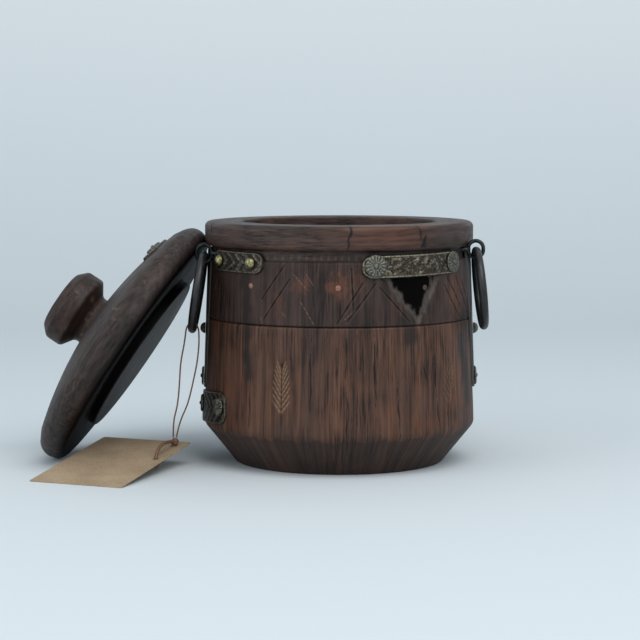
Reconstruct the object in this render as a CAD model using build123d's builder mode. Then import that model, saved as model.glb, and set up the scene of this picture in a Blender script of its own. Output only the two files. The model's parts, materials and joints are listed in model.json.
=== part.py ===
from build123d import *
import os
from math import asin, atan2, cos, degrees, pi, radians, sin, sqrt, tan

# A turned wooden canister with ring pulls at its sides and a knobbed lid.
# The lid leans against the pot's left side, and a card tag hangs by twine from the left ring.
# The origin is the centre of the pot's flat base, with +Z up and -Y towards the viewer.
# Lengths are in millimetres and angles in degrees.
os.makedirs("parts", exist_ok=True)

# Pot: heights from the floor, radii from its axis
POT_HEIGHT = 157.0
BASE_RADIUS = 68.0
BASE_ROUND = 1.5
SHOULDER_RADIUS = 88.5
SHOULDER_HEIGHT = 25.5
SHOULDER_ROUND = 3.0
MID_LINE_BELOW_NECK = 39.7
MID_LINE_WIDTH = 1.8
MID_LINE_DEPTH = 1.1
NECK_RADIUS = 84.7
NECK_DEPTH = 1.3
RIM_PROUD = 2.8
RIM_BAND = 15.8
RECESS_BAND = 7.1
RIM_UNDER_ROUND = 4.0
RIM_TOP_ROUND = 3.4
MOUTH_RADIUS = 63.8
MOUTH_ROUND = 1.6
FLOOR_THICKNESS = 18.0
INSIDE_CORNER = 9.0

# Sizes that follow the pot's: its rim, and the heights of the neck line and the line round the side
rim_radius = NECK_RADIUS + RIM_PROUD
rim_under = POT_HEIGHT - RIM_BAND
neck_height = rim_under - RECESS_BAND
mid_line_height = neck_height - MID_LINE_BELOW_NECK

# Pegs let into the carved band
PEG_COUNT = 9
PEG_FIRST_AZIMUTH = -0.9
PEG_BELOW_NECK = 15.1
PEG_RADIUS = 1.8
PEG_LENGTH = 12.0

# Clearances
SEAT = 0.05
FIT = 0.05
PIECE_GAP = 0.3

# Metal bands on the pot: azimuths are measured from the front towards +X
BAND_THICKNESS = 1.5
RIGHT_BAND_BELOW_NECK = 1.8
LEFT_BAND_BELOW_NECK = 0.8
LOW_PATCH_ABOVE_SHOULDER = 12.5
right_height = neck_height - RIGHT_BAND_BELOW_NECK
left_height = neck_height - LEFT_BAND_BELOW_NECK
patch_height = SHOULDER_HEIGHT + LOW_PATCH_ABOVE_SHOULDER
RIGHT_BAND = dict(azimuth=34.7, height=right_height, half_length=37.4, half_height=7.2, tilt=1.1, corner=6.6)
LEFT_BAND = dict(azimuth=-51.0, height=left_height, half_length=24.8, half_height=6.9, tilt=-0.5, corner=6.2)
LOW_PATCH = dict(azimuth=-72.0, height=patch_height, half_length=27.0, half_height=10.6, tilt=4.0, corner=8.0)
RIGHT_BAND_NAILS = ((14.6, right_height + 0.1), (55.6, right_height + 0.7))
LEFT_BAND_NAILS = ((-40.4, left_height - 0.1), (-61.7, left_height + 0.1))
LOW_PATCH_NAILS = ((-59.7, patch_height + 2.2), (-84.6, patch_height))

# Leather straps down the sides: the offset is in front of the pot's axis, at the strap's foot
STRAP_THICKNESS = 1.3
STRAP_WIDTH = 22.4
STRAP_ABOVE_NECK = 6.3
STRAP_FOOT = 48.4
STRAP_CORNER = 5.0
RIGHT_STRAP_OFFSET = 2.0
RIGHT_STRAP_LEAN = 9.5
LEFT_STRAP_OFFSET = 4.6
LEFT_STRAP_LEAN = 4.0
STRAP_NAIL_BELOW_LINE = 7.2
STRAP_ROSETTE_ABOVE_FOOT = 7.1

# Nails
NAIL_RADIUS = 1.0
NAIL_LENGTH = 13.0
DOME_RADIUS = 3.6
DOME_HEIGHT = 3.3
ROSETTE_HEIGHT = 2.4
ROSETTE_EDGE = 0.9
ROSETTE_BOSS = 1.7
BAND_ROSETTE_RADIUS = 6.9
STRAP_ROSETTE_RADIUS = 6.2
PATCH_ROSETTE_RADIUS = 5.8
LID_ROSETTE_RADIUS = 5.4
LID_NAIL_LENGTH = 9.0

# Wire eyes and ring pulls
EYE_Y = -30.0
LEFT_EYE_OUT = 2.1
LEFT_EYE_ABOVE_NECK = 3.2
RIGHT_EYE_OUT = 2.5
RIGHT_EYE_ABOVE_NECK = 5.8
EYE_RADIUS = 4.8
EYE_STRAIGHT = 1.2
EYE_WIRE_RADIUS = 1.25
EYE_SHANK_RADIUS = 1.4
EYE_SHANK_LENGTH = 18.0
RING_RADIUS = 24.1
RING_TUBE_RADIUS = 2.7

# Lid: w is the height along its axis, from the flange's underside towards the knob
LID_RADIUS = 89.2
LID_UNDER_INSET = 11.0
LID_EDGE_W = 9.2
LID_EDGE_ROUND = 10.0
LID_EDGE_START = -62.0
LID_EDGE_SWEEP = 115.0
LID_DOME_RADIUS = 80.0
LID_DOME_EDGE_W = 20.2
LID_DOME_TOP_W = 33.4
PLUG_CLEARANCE = 8.1
PLUG_DEPTH = 5.0
PLUG_ROUND = 1.0

# Knob on the lid, with a hidden dowel: its heights are above the top of the lid's dome
KNOB_SEAT_DEPTH = 1.0
KNOB_FOOT_RADIUS = 17.6
KNOB_WAIST_RADIUS = 16.5
KNOB_RADIUS = 25.5
KNOB_TOP_RADIUS = 19.6
KNOB_WAIST_RISE = 2.5
KNOB_NECK_RISE = 5.4
KNOB_LOW_EDGE_RISE = 10.8
KNOB_HIGH_EDGE_RISE = 21.3
KNOB_TOP_RISE = 27.2
KNOB_ROUND = 1.6
DOWEL_RADIUS = 5.0
DOWEL_DEPTH = 14.0

# Small metal patch on the lid: its place is a radius and a turn from the lid's highest point
LID_PATCH_RADIUS = 67.0
LID_PATCH_TURN = 14.5
LID_PATCH_LENGTH = 28.0
LID_PATCH_WIDTH = 12.4
LID_PATCH_CORNER = 4.0

# The lid's lean: how far below the pot's top it touches, and its axis's heading from -X towards +Y
LID_TOUCH_BELOW_TOP = 15.17
LID_HEADING = 5.1
LID_CENTRE_Y = 5.0

# Card tag: its near left corner on the floor, the heading of its short side and its rise
TAG_CORNER = (-192.1, -91.6, 0.0)
TAG_HEADING = -22.6
TAG_RISE = 8.2
TAG_WIDTH = 64.0
TAG_LENGTH = 98.0
TAG_THICKNESS = 0.5
TAG_ROUND = 1.5
TAG_HOLE_X = 57.7
TAG_HOLE_Y = 58.7
TAG_HOLE_RADIUS = 2.1

# Twine: the route runs up from the join, over the ring's lowest part and down again.
# It is drawn for a ring whose lowest point is TWINE_RING_X across and TWINE_HANG above the join.
TWINE_RING_X = -94.52
TWINE_HANG = 69.97
TWINE_RADIUS = 0.55
TWINE_ROUTE = [
    (-107.0, -34.0, 18.7), (-107.2, -33.2, 28.5), (-104.2, -32.0, 39.5), (-103.0, -31.0, 53.0),
    (-102.3, -30.5, 67.0), (-99.5, -30.2, 80.5), (-98.2, -30.2, 92.4), (-90.8, -30.2, 92.4),
    (-90.1, -30.4, 80.5), (-91.5, -31.0, 67.0), (-94.5, -31.8, 53.0), (-97.6, -32.6, 40.0),
    (-103.1, -33.6, 28.5), (-105.0, -34.0, 18.7),
]
TAIL_RADIUS = 1.15
TAIL_ROUTE = [
    (-116.3, -60.1, 8.15), (-116.0, -59.3, 11.5), (-115.2, -57.2, 14.2), (-113.8, -53.8, 16.3),
    (-111.8, -48.6, 17.3), (-109.3, -42.4, 17.4), (-107.0, -36.5, 16.4),
]
JOIN_KNOT_CENTRE = (-106.0, -34.0, 16.0)
JOIN_KNOT_RADIUS = 2.6
STOP_KNOT_RADIUS = 2.4

# Values worked out from the sizes above
wall_slope = (NECK_RADIUS - SHOULDER_RADIUS) / (neck_height - SHOULDER_HEIGHT)
wall_lean = degrees(atan2(-wall_slope, 1))
recess_radius = NECK_RADIUS - NECK_DEPTH
left_eye_place = (-NECK_RADIUS - LEFT_EYE_OUT, neck_height + LEFT_EYE_ABOVE_NECK)
right_eye_place = (NECK_RADIUS + RIGHT_EYE_OUT, neck_height + RIGHT_EYE_ABOVE_NECK)
plug_radius = MOUTH_RADIUS - PLUG_CLEARANCE
strap_top = neck_height + STRAP_ABOVE_NECK
strap_nail_height = mid_line_height - STRAP_NAIL_BELOW_LINE
strap_rosette_height = STRAP_FOOT + STRAP_ROSETTE_ABOVE_FOOT


def wall_radius(height):
    """Radius of the pot's tapering side at a height."""
    return SHOULDER_RADIUS + wall_slope * (height - SHOULDER_HEIGHT)


def wall_plane(azimuth, height, proud=0.0):
    """Plane on the pot's side: x to the viewer's right, y up along the side, z outwards."""
    turn, lean = radians(azimuth), radians(wall_lean)
    outward = Vector(sin(turn) * cos(lean), -cos(turn) * cos(lean), sin(lean))
    radius = wall_radius(height)
    foot = Vector(radius * sin(turn), -radius * cos(turn), height)
    return Plane(origin=foot + outward * proud, x_dir=(cos(turn), sin(turn), 0), z_dir=outward)


def strap_place(side, offset, lean, height):
    """Azimuth and height of a point on a side strap's centre line."""
    reach = offset + (height - strap_rosette_height) * tan(radians(lean))
    return side * (90 - degrees(asin(reach / wall_radius(height)))), height


def corner_near(sketch, x, y):
    """The vertex of a sketch that lies nearest to a point of its plane."""
    return sketch.vertices().sort_by_distance(Vector(x, y, 0))[0]


def tube(route, radius, name):
    """Straight runs joined by the widest arcs that they allow, with a round section."""
    points = [Vector(point) for point in route]
    radii = []
    for before, point, after in zip(points, points[1:], points[2:]):
        half_turn = radians((point - before).get_angle(after - point)) / 2
        shorter = min((point - before).length, (after - point).length)
        radii.append(0.45 * shorter / tan(half_turn))
    print(name, "arc radii:", [round(value, 1) for value in radii])
    with BuildPart() as piece:
        with BuildLine() as path:
            FilletPolyline(*points, radius=radii)
        with BuildSketch(Plane(origin=points[0], z_dir=points[1] - points[0])):
            Circle(radius)
        sweep(path=path.wires()[0])
    section = pi * radius**2
    print(name, "volume over section times length:", piece.part.volume / (section * path.wires()[0].length))
    return piece


def save(name, piece):
    """Label a piece and write its STEP file."""
    piece.part.label = name
    export_step(piece.part, f"parts/{name}.step")


peg_height = neck_height - PEG_BELOW_NECK
peg_places = [(PEG_FIRST_AZIMUTH + 360 * i / PEG_COUNT, peg_height) for i in range(PEG_COUNT)]
left_strap = (-1, LEFT_STRAP_OFFSET, LEFT_STRAP_LEAN)
right_strap = (1, RIGHT_STRAP_OFFSET, RIGHT_STRAP_LEAN)
strap_nails = [strap_place(*strap, strap_nail_height) for strap in (left_strap, right_strap)]
strap_rosettes = [strap_place(*strap, strap_rosette_height) for strap in (left_strap, right_strap)]
nail_places = [*RIGHT_BAND_NAILS, *LEFT_BAND_NAILS, *LOW_PATCH_NAILS, *strap_nails, *strap_rosettes]

# Pot body: one turned block, bored for its pegs, nails and eyes
with BuildPart() as pot_body:
    with BuildSketch(Plane.XZ) as pot_section:
        with BuildLine():
            half_line = MID_LINE_WIDTH / 2
            Polyline(
                (0, 0),
                (BASE_RADIUS, 0),
                (SHOULDER_RADIUS, SHOULDER_HEIGHT),
                (wall_radius(mid_line_height - half_line), mid_line_height - half_line),
                (wall_radius(mid_line_height) - MID_LINE_DEPTH, mid_line_height),
                (wall_radius(mid_line_height + half_line), mid_line_height + half_line),
                (NECK_RADIUS, neck_height),
                (recess_radius, neck_height + NECK_DEPTH / 2),
                (recess_radius, rim_under),
                (rim_radius, rim_under),
                (rim_radius, POT_HEIGHT),
                (MOUTH_RADIUS, POT_HEIGHT),
                (MOUTH_RADIUS, FLOOR_THICKNESS),
                (0, FLOOR_THICKNESS),
                close=True,
            )
        make_face()
        for x, y, rounding in (
            (BASE_RADIUS, 0, BASE_ROUND),
            (SHOULDER_RADIUS, SHOULDER_HEIGHT, SHOULDER_ROUND),
            (rim_radius, rim_under, RIM_UNDER_ROUND),
            (rim_radius, POT_HEIGHT, RIM_TOP_ROUND),
            (MOUTH_RADIUS, POT_HEIGHT, MOUTH_ROUND),
            (MOUTH_RADIUS, FLOOR_THICKNESS, INSIDE_CORNER),
        ):
            fillet(corner_near(pot_section, x, y), rounding)
    revolve(axis=Axis.Z)
    with Locations(*[wall_plane(*place) for place in peg_places]):
        Hole(PEG_RADIUS + FIT, PEG_LENGTH + FIT)
    with Locations(*[wall_plane(*place) for place in nail_places]):
        Hole(NAIL_RADIUS + FIT, NAIL_LENGTH + FIT)
    for x, height in (left_eye_place, right_eye_place):
        with Locations(Plane(origin=(x, EYE_Y, height), z_dir=(x, 0, 0))):
            Hole(EYE_SHANK_RADIUS + FIT, EYE_RADIUS + EYE_SHANK_LENGTH + FIT)
save("pot_body", pot_body)

with BuildPart() as band_pegs:
    with Locations(*[wall_plane(*place) for place in peg_places]):
        Cylinder(PEG_RADIUS, PEG_LENGTH, align=(Align.CENTER, Align.CENTER, Align.MAX))
save("band_pegs", band_pegs)


# Bands and straps: shells that follow the pot's side, cut to their outlines
def shell_section(thickness, low, high):
    """Section of a shell that lies on the pot's side between two heights."""
    low_radius, high_radius = wall_radius(low) + SEAT, wall_radius(high) + SEAT
    with BuildSketch(Plane.XZ) as section:
        with BuildLine():
            Polyline(
                (low_radius, low),
                (low_radius + thickness, low),
                (high_radius + thickness, high),
                (high_radius, high),
                close=True,
            )
        make_face()
    return section.sketch


def hole_planes(places, thickness):
    """Planes outside a band or strap, from which its nail holes are bored."""
    return [wall_plane(*place, 2 * thickness) for place in places]


def wall_band(band, nails):
    """A curved metal band with rounded ends."""
    reach = band["half_height"] + band["half_length"] * sin(radians(abs(band["tilt"]))) + 1
    with BuildPart() as piece:
        revolve(shell_section(BAND_THICKNESS, band["height"] - reach, band["height"] + reach), axis=Axis.Z)
        with BuildSketch(wall_plane(band["azimuth"], band["height"])):
            RectangleRounded(
                2 * band["half_length"], 2 * band["half_height"], band["corner"], rotation=band["tilt"]
            )
        extrude(amount=NECK_RADIUS / 2, both=True, mode=Mode.INTERSECT)
        with Locations(*hole_planes(nails, BAND_THICKNESS)):
            Hole(NAIL_RADIUS + FIT, 4 * BAND_THICKNESS)
    return piece


def side_strap(side, offset, lean, nails):
    """A leather strap down one side of the pot, with two rounded corners at its foot."""
    slope = tan(radians(lean))
    half = STRAP_WIDTH / 2 / cos(radians(lean))
    foot_y = -offset - slope * (STRAP_FOOT - strap_rosette_height)
    top_y = -offset - slope * (strap_top - strap_rosette_height)
    with BuildPart() as piece:
        revolve(shell_section(STRAP_THICKNESS, STRAP_FOOT, strap_top), axis=Axis.Z)
        side_plane = Plane(origin=(side * NECK_RADIUS, 0, 0), x_dir=(0, 1, 0), z_dir=(1, 0, 0))
        with BuildSketch(side_plane) as outline:
            with BuildLine():
                Polyline(
                    (foot_y - half, STRAP_FOOT),
                    (foot_y + half, STRAP_FOOT),
                    (top_y + half, strap_top),
                    (top_y - half, strap_top),
                    close=True,
                )
            make_face()
            for edge in (-half, half):
                fillet(corner_near(outline, foot_y + edge, STRAP_FOOT), STRAP_CORNER)
        extrude(amount=NECK_RADIUS / 2, both=True, mode=Mode.INTERSECT)
        with Locations(*hole_planes(nails, STRAP_THICKNESS)):
            Hole(NAIL_RADIUS + FIT, 4 * STRAP_THICKNESS)
    return piece


front_right_band = wall_band(RIGHT_BAND, RIGHT_BAND_NAILS)
save("front_right_band", front_right_band)
front_left_band = wall_band(LEFT_BAND, LEFT_BAND_NAILS)
save("front_left_band", front_left_band)
low_left_patch = wall_band(LOW_PATCH, LOW_PATCH_NAILS)
save("low_left_patch", low_left_patch)
left_side_strap = side_strap(*left_strap, [strap_nails[0], strap_rosettes[0]])
save("left_side_strap", left_side_strap)
right_side_strap = side_strap(*right_strap, [strap_nails[1], strap_rosettes[1]])
save("right_side_strap", right_side_strap)


# Nails: a turned head and a round shank with a blunt point
def head_planes(places, thickness):
    """Planes on which nail heads sit, clear of the band or strap that they hold."""
    return [wall_plane(*place, thickness + 2 * SEAT) for place in places]


def section_plane(plane):
    """Plane through a nail's or lid's axis: x across it and y along it."""
    return Plane(origin=plane.origin, x_dir=plane.x_dir, z_dir=-plane.y_dir)


def shank_points(head_radius, length):
    """Points down a nail's axis and up its shank to the edge of its head."""
    return [
        (0, -length),
        (NAIL_RADIUS / 2, -length),
        (NAIL_RADIUS, NAIL_RADIUS - length),
        (NAIL_RADIUS, 0),
        (head_radius, 0),
    ]


def dome_nails(planes):
    """Nails with half-round heads."""
    head_sphere = (DOME_RADIUS**2 + DOME_HEIGHT**2) / (2 * DOME_HEIGHT)
    with BuildPart() as nails:
        for plane in planes:
            with BuildSketch(section_plane(plane)):
                with BuildLine():
                    Polyline((0, DOME_HEIGHT), *shank_points(DOME_RADIUS, NAIL_LENGTH))
                    RadiusArc((DOME_RADIUS, 0), (0, DOME_HEIGHT), -head_sphere)
                make_face()
            revolve(axis=Axis(plane.origin, plane.z_dir))
    return nails


def rosette_nails(planes, radius, length=NAIL_LENGTH):
    """Nails with low round flower heads: a thin edge, a swelling face and a centre boss."""
    face_foot = (radius, ROSETTE_EDGE)
    face_top = (ROSETTE_BOSS, (ROSETTE_EDGE + ROSETTE_HEIGHT) / 2)
    face_middle = ((radius + ROSETTE_BOSS) / 2, ROSETTE_EDGE + 0.7 * (face_top[1] - ROSETTE_EDGE))
    with BuildPart() as nails:
        for plane in planes:
            with BuildSketch(section_plane(plane)):
                with BuildLine():
                    Polyline((0, ROSETTE_HEIGHT), *shank_points(radius, length), face_foot)
                    ThreePointArc(face_foot, face_middle, face_top)
                    Polyline(face_top, (ROSETTE_BOSS / 2, ROSETTE_HEIGHT), (0, ROSETTE_HEIGHT))
                make_face()
            revolve(axis=Axis(plane.origin, plane.z_dir))
    return nails


right_band_rosettes = rosette_nails(head_planes(RIGHT_BAND_NAILS, BAND_THICKNESS), BAND_ROSETTE_RADIUS)
save("right_band_rosettes", right_band_rosettes)
left_band_dome_nails = dome_nails(head_planes(LEFT_BAND_NAILS, BAND_THICKNESS))
save("left_band_dome_nails", left_band_dome_nails)
low_patch_rosettes = rosette_nails(head_planes(LOW_PATCH_NAILS, BAND_THICKNESS), PATCH_ROSETTE_RADIUS)
save("low_patch_rosettes", low_patch_rosettes)
strap_dome_nails = dome_nails(head_planes(strap_nails, STRAP_THICKNESS))
save("strap_dome_nails", strap_dome_nails)
strap_foot_rosettes = rosette_nails(head_planes(strap_rosettes, STRAP_THICKNESS), STRAP_ROSETTE_RADIUS)
save("strap_foot_rosettes", strap_foot_rosettes)


# Eyes: an upright wire loop on a shank that is driven into the wood
def wire_eye(x, height):
    """Two half rounds and two straights of wire, with a shank towards the pot."""
    half = EYE_STRAIGHT / 2
    inwards = -x / abs(x)
    with BuildPart() as eye:
        with BuildLine(Plane(origin=(x, EYE_Y, height), x_dir=(1, 0, 0), z_dir=(0, -1, 0))):
            Line((EYE_RADIUS, -half), (EYE_RADIUS, half))
            ThreePointArc((EYE_RADIUS, half), (0, half + EYE_RADIUS), (-EYE_RADIUS, half))
            Line((-EYE_RADIUS, half), (-EYE_RADIUS, -half))
            ThreePointArc((-EYE_RADIUS, -half), (0, -half - EYE_RADIUS), (EYE_RADIUS, -half))
        with BuildSketch(Plane(origin=(x + EYE_RADIUS, EYE_Y, height - half), z_dir=(0, 0, 1))):
            Circle(EYE_WIRE_RADIUS)
        sweep()
        with Locations(Plane(origin=(x + inwards * EYE_RADIUS, EYE_Y, height), z_dir=(inwards, 0, 0))):
            Cylinder(EYE_SHANK_RADIUS, EYE_SHANK_LENGTH, align=(Align.CENTER, Align.CENTER, Align.MIN))
    return eye


left_eye = wire_eye(*left_eye_place)
save("left_eye", left_eye)
right_eye = wire_eye(*right_eye_place)
save("right_eye", right_eye)

# Ring pulls: each hangs on the outer part of its eye's lower bend and leans on the strap
play = EYE_RADIUS - EYE_WIRE_RADIUS - RING_TUBE_RADIUS - PIECE_GAP
hinge_out = play * sin(radians(45))
hinge_drop = EYE_STRAIGHT / 2 + play * cos(radians(45))


def ring_lean(hinge_reach, hinge_height):
    """Least lean that keeps the whole ring clear of the strap beside it."""
    slope = 0
    for turn in range(20, 121, 5):
        drop = RING_RADIUS * (1 - cos(radians(turn)))
        y = EYE_Y + RING_RADIUS * sin(radians(turn))
        face = wall_radius(hinge_height - drop) + SEAT + STRAP_THICKNESS
        room = sqrt(face**2 - y**2) + RING_TUBE_RADIUS + PIECE_GAP - hinge_reach
        slope = max(slope, room / drop)
    return asin(slope)


def ring_pull(eye_x, eye_height):
    """A plain round ring that leans outwards from its hinge line, and its lowest point."""
    outwards = eye_x / abs(eye_x)
    hinge = Vector(eye_x + outwards * hinge_out, EYE_Y, eye_height - hinge_drop)
    lean = ring_lean(abs(hinge.X), hinge.Z)
    hang = Vector(outwards * sin(lean), 0, -cos(lean))
    centre = hinge + hang * RING_RADIUS
    print("ring hinge", hinge, "lean", degrees(lean), "centre", centre)
    with BuildPart() as ring:
        with Locations(Plane(origin=centre, x_dir=(0, 1, 0), z_dir=hang.cross(Vector(0, 1, 0)))):
            Torus(RING_RADIUS, RING_TUBE_RADIUS)
    return ring, centre + hang * RING_RADIUS


left_ring, left_ring_low = ring_pull(*left_eye_place)
save("left_ring", left_ring)
right_ring, right_ring_low = ring_pull(*right_eye_place)
save("right_ring", right_ring)

# Lid frame: the axis, the uphill direction in the lid's plane and the level one towards the viewer
edge_radius = LID_RADIUS - LID_EDGE_ROUND
tilt = asin((POT_HEIGHT - LID_TOUCH_BELOW_TOP - LID_EDGE_ROUND) / (2 * edge_radius))
heading = radians(LID_HEADING)
lid_axis = Vector(-sin(tilt) * cos(heading), sin(tilt) * sin(heading), cos(tilt))
lid_uphill = Vector(cos(tilt) * cos(heading), -cos(tilt) * sin(heading), sin(tilt))
lid_across = Vector(-sin(heading), -cos(heading), 0)
lid_centre_height = edge_radius * sin(tilt) - LID_EDGE_W * cos(tilt) + LID_EDGE_ROUND


def leaning_x():
    """X of the lid's centre when its rounded edge leans on the rounded underside of the rim."""
    apart = LID_EDGE_ROUND + RIM_UNDER_ROUND + PIECE_GAP
    low, high = rim_under + RIM_UNDER_ROUND, POT_HEIGHT - RIM_UNDER_ROUND
    places = []
    for degree in range(-40, 41):
        turn = radians(degree / 2)
        edge = (lid_uphill * cos(turn) + lid_across * sin(turn)) * edge_radius + lid_axis * LID_EDGE_W
        y, z = edge.Y + LID_CENTRE_Y, edge.Z + lid_centre_height
        beyond = max(low - z, z - high, 0)
        if beyond < apart:
            reach = rim_radius - RIM_UNDER_ROUND + sqrt(apart**2 - beyond**2)
            places.append(-sqrt(reach**2 - y**2) - edge.X)
    return min(places)


lid_centre = Vector(leaning_x(), LID_CENTRE_Y, lid_centre_height)
lid_frame = Plane(origin=lid_centre, x_dir=lid_across, z_dir=lid_axis)
lid_line = Axis(lid_centre, lid_axis)
lid_section = section_plane(lid_frame)
dome_rise = LID_DOME_TOP_W - LID_DOME_EDGE_W
dome_sphere = (LID_DOME_RADIUS**2 + dome_rise**2) / (2 * dome_rise)
dome_centre = lid_centre + lid_axis * (LID_DOME_TOP_W - dome_sphere)
knob_seat_w = LID_DOME_TOP_W - KNOB_SEAT_DEPTH
knob_neck_w = LID_DOME_TOP_W + KNOB_NECK_RISE
knob_low_w = LID_DOME_TOP_W + KNOB_LOW_EDGE_RISE
knob_high_w = LID_DOME_TOP_W + KNOB_HIGH_EDGE_RISE
knob_top_w = LID_DOME_TOP_W + KNOB_TOP_RISE
patch_turn = radians(LID_PATCH_TURN)
patch_out = (lid_uphill * cos(patch_turn) + lid_across * sin(patch_turn)) * LID_PATCH_RADIUS
patch_normal = patch_out + lid_axis * sqrt(dome_sphere**2 - LID_PATCH_RADIUS**2)
patch_along = patch_out.cross(lid_axis)
print("lid centre", lid_centre, "axis", lid_axis)


def dome_plane(proud):
    """Plane on the lid's dome at the small patch: x round the lid and z outwards."""
    origin = dome_centre + patch_normal.normalized() * (dome_sphere + proud)
    return Plane(origin=origin, x_dir=patch_along, z_dir=patch_normal)


# Lid plate: turned flange with a shallow plug below and a domed top
with BuildPart() as lid_plate:
    with BuildSketch(lid_section) as plate_section:
        with BuildLine():
            edge_arc = CenterArc((edge_radius, LID_EDGE_W), LID_EDGE_ROUND, LID_EDGE_START, LID_EDGE_SWEEP)
            Polyline(
                (0, LID_DOME_TOP_W),
                (0, -PLUG_DEPTH),
                (plug_radius, -PLUG_DEPTH),
                (plug_radius, 0),
                (LID_RADIUS - LID_UNDER_INSET, 0),
                edge_arc @ 0,
            )
            Line(edge_arc @ 1, (LID_DOME_RADIUS, LID_DOME_EDGE_W))
            RadiusArc((LID_DOME_RADIUS, LID_DOME_EDGE_W), (0, LID_DOME_TOP_W), -dome_sphere)
        make_face()
        fillet(corner_near(plate_section, plug_radius, -PLUG_DEPTH), PLUG_ROUND)
    revolve(axis=lid_line)
    with Locations(lid_frame.offset(LID_DOME_TOP_W)):
        bore_depth = KNOB_SEAT_DEPTH + DOWEL_DEPTH
        CounterBoreHole(DOWEL_RADIUS + FIT, KNOB_FOOT_RADIUS + FIT, KNOB_SEAT_DEPTH, bore_depth)
    with Locations(dome_plane(0)):
        Hole(NAIL_RADIUS + FIT, LID_NAIL_LENGTH + FIT)
save("lid_plate", lid_plate)

with BuildPart() as lid_knob:
    with BuildSketch(lid_section) as knob_section:
        with BuildLine():
            knob_foot_w = knob_seat_w + SEAT
            ThreePointArc(
                (KNOB_FOOT_RADIUS, knob_foot_w),
                (KNOB_WAIST_RADIUS, LID_DOME_TOP_W + KNOB_WAIST_RISE),
                (KNOB_FOOT_RADIUS, knob_neck_w),
            )
            Polyline(
                (KNOB_FOOT_RADIUS, knob_neck_w),
                (KNOB_RADIUS, knob_low_w),
                (KNOB_RADIUS, knob_high_w),
                (KNOB_TOP_RADIUS, knob_top_w),
                (0, knob_top_w),
                (0, knob_foot_w),
                (KNOB_FOOT_RADIUS, knob_foot_w),
            )
        make_face()
        for x, y in (
            (KNOB_RADIUS, knob_low_w),
            (KNOB_RADIUS, knob_high_w),
            (KNOB_TOP_RADIUS, knob_top_w),
        ):
            fillet(corner_near(knob_section, x, y), KNOB_ROUND)
    revolve(axis=lid_line)
    with Locations(Plane(origin=lid_centre + lid_axis * knob_seat_w, z_dir=-lid_axis)):
        Hole(DOWEL_RADIUS + FIT, DOWEL_DEPTH)
save("lid_knob", lid_knob)

with BuildPart() as knob_dowel:
    with BuildSketch(lid_frame.offset(knob_seat_w)):
        Circle(DOWEL_RADIUS)
    extrude(amount=DOWEL_DEPTH - FIT, both=True)
save("knob_dowel", knob_dowel)

with BuildPart() as lid_patch:
    with Locations(Plane(origin=dome_centre, x_dir=lid_across, z_dir=lid_axis)):
        Sphere(dome_sphere + SEAT + BAND_THICKNESS)
        Sphere(dome_sphere + SEAT, mode=Mode.SUBTRACT)
    with BuildSketch(dome_plane(0)):
        RectangleRounded(LID_PATCH_LENGTH, LID_PATCH_WIDTH, LID_PATCH_CORNER)
    extrude(amount=LID_PATCH_WIDTH, both=True, mode=Mode.INTERSECT)
    with Locations(dome_plane(2 * BAND_THICKNESS)):
        Hole(NAIL_RADIUS + FIT, 4 * BAND_THICKNESS)
save("lid_patch", lid_patch)

lid_rosette = rosette_nails([dome_plane(BAND_THICKNESS + 2 * SEAT)], LID_ROSETTE_RADIUS, LID_NAIL_LENGTH)
save("lid_rosette", lid_rosette)

# Card tag, resting on its front edge and held up at the back
level_side = Vector(cos(radians(TAG_HEADING)), sin(radians(TAG_HEADING)), 0)
tag_normal = Vector(0, 0, 1).rotate(Axis((0, 0, 0), level_side), TAG_RISE)
tag_frame = Plane(origin=TAG_CORNER, x_dir=level_side, z_dir=tag_normal)
with BuildPart() as tag:
    with BuildSketch(tag_frame):
        with Locations((TAG_WIDTH / 2, TAG_LENGTH / 2)):
            RectangleRounded(TAG_WIDTH, TAG_LENGTH, TAG_ROUND)
        with Locations((TAG_HOLE_X, TAG_HOLE_Y)):
            Circle(TAG_HOLE_RADIUS, mode=Mode.SUBTRACT)
    extrude(amount=TAG_THICKNESS)
save("tag", tag)

# Twine: a loop over the ring, a join knot, a twisted tail and a stop knot under the tag
join_height = TWINE_ROUTE[0][2]
shift = (left_ring_low.X - TWINE_RING_X) / TWINE_HANG
stretch = (left_ring_low.Z - join_height) / TWINE_HANG
twine_route = []
for x, y, z in TWINE_ROUTE:
    rise = z - join_height
    twine_route.append((x + shift * rise, y, join_height + stretch * rise))
tag_twine = tube(twine_route, TWINE_RADIUS, "tag_twine")
save("tag_twine", tag_twine)
twine_tail = tube(TAIL_ROUTE, TAIL_RADIUS, "twine_tail")
save("twine_tail", twine_tail)

with BuildPart() as join_knot:
    with Locations(JOIN_KNOT_CENTRE):
        Sphere(JOIN_KNOT_RADIUS)
save("join_knot", join_knot)

tag_hole = tag_frame.from_local_coords(Vector(TAG_HOLE_X, TAG_HOLE_Y, 0))
with BuildPart() as stop_knot:
    with Locations(tag_hole - Vector(0, 0, STOP_KNOT_RADIUS + PIECE_GAP)):
        Sphere(STOP_KNOT_RADIUS)
save("stop_knot", stop_knot)
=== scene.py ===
import json
import math

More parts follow.
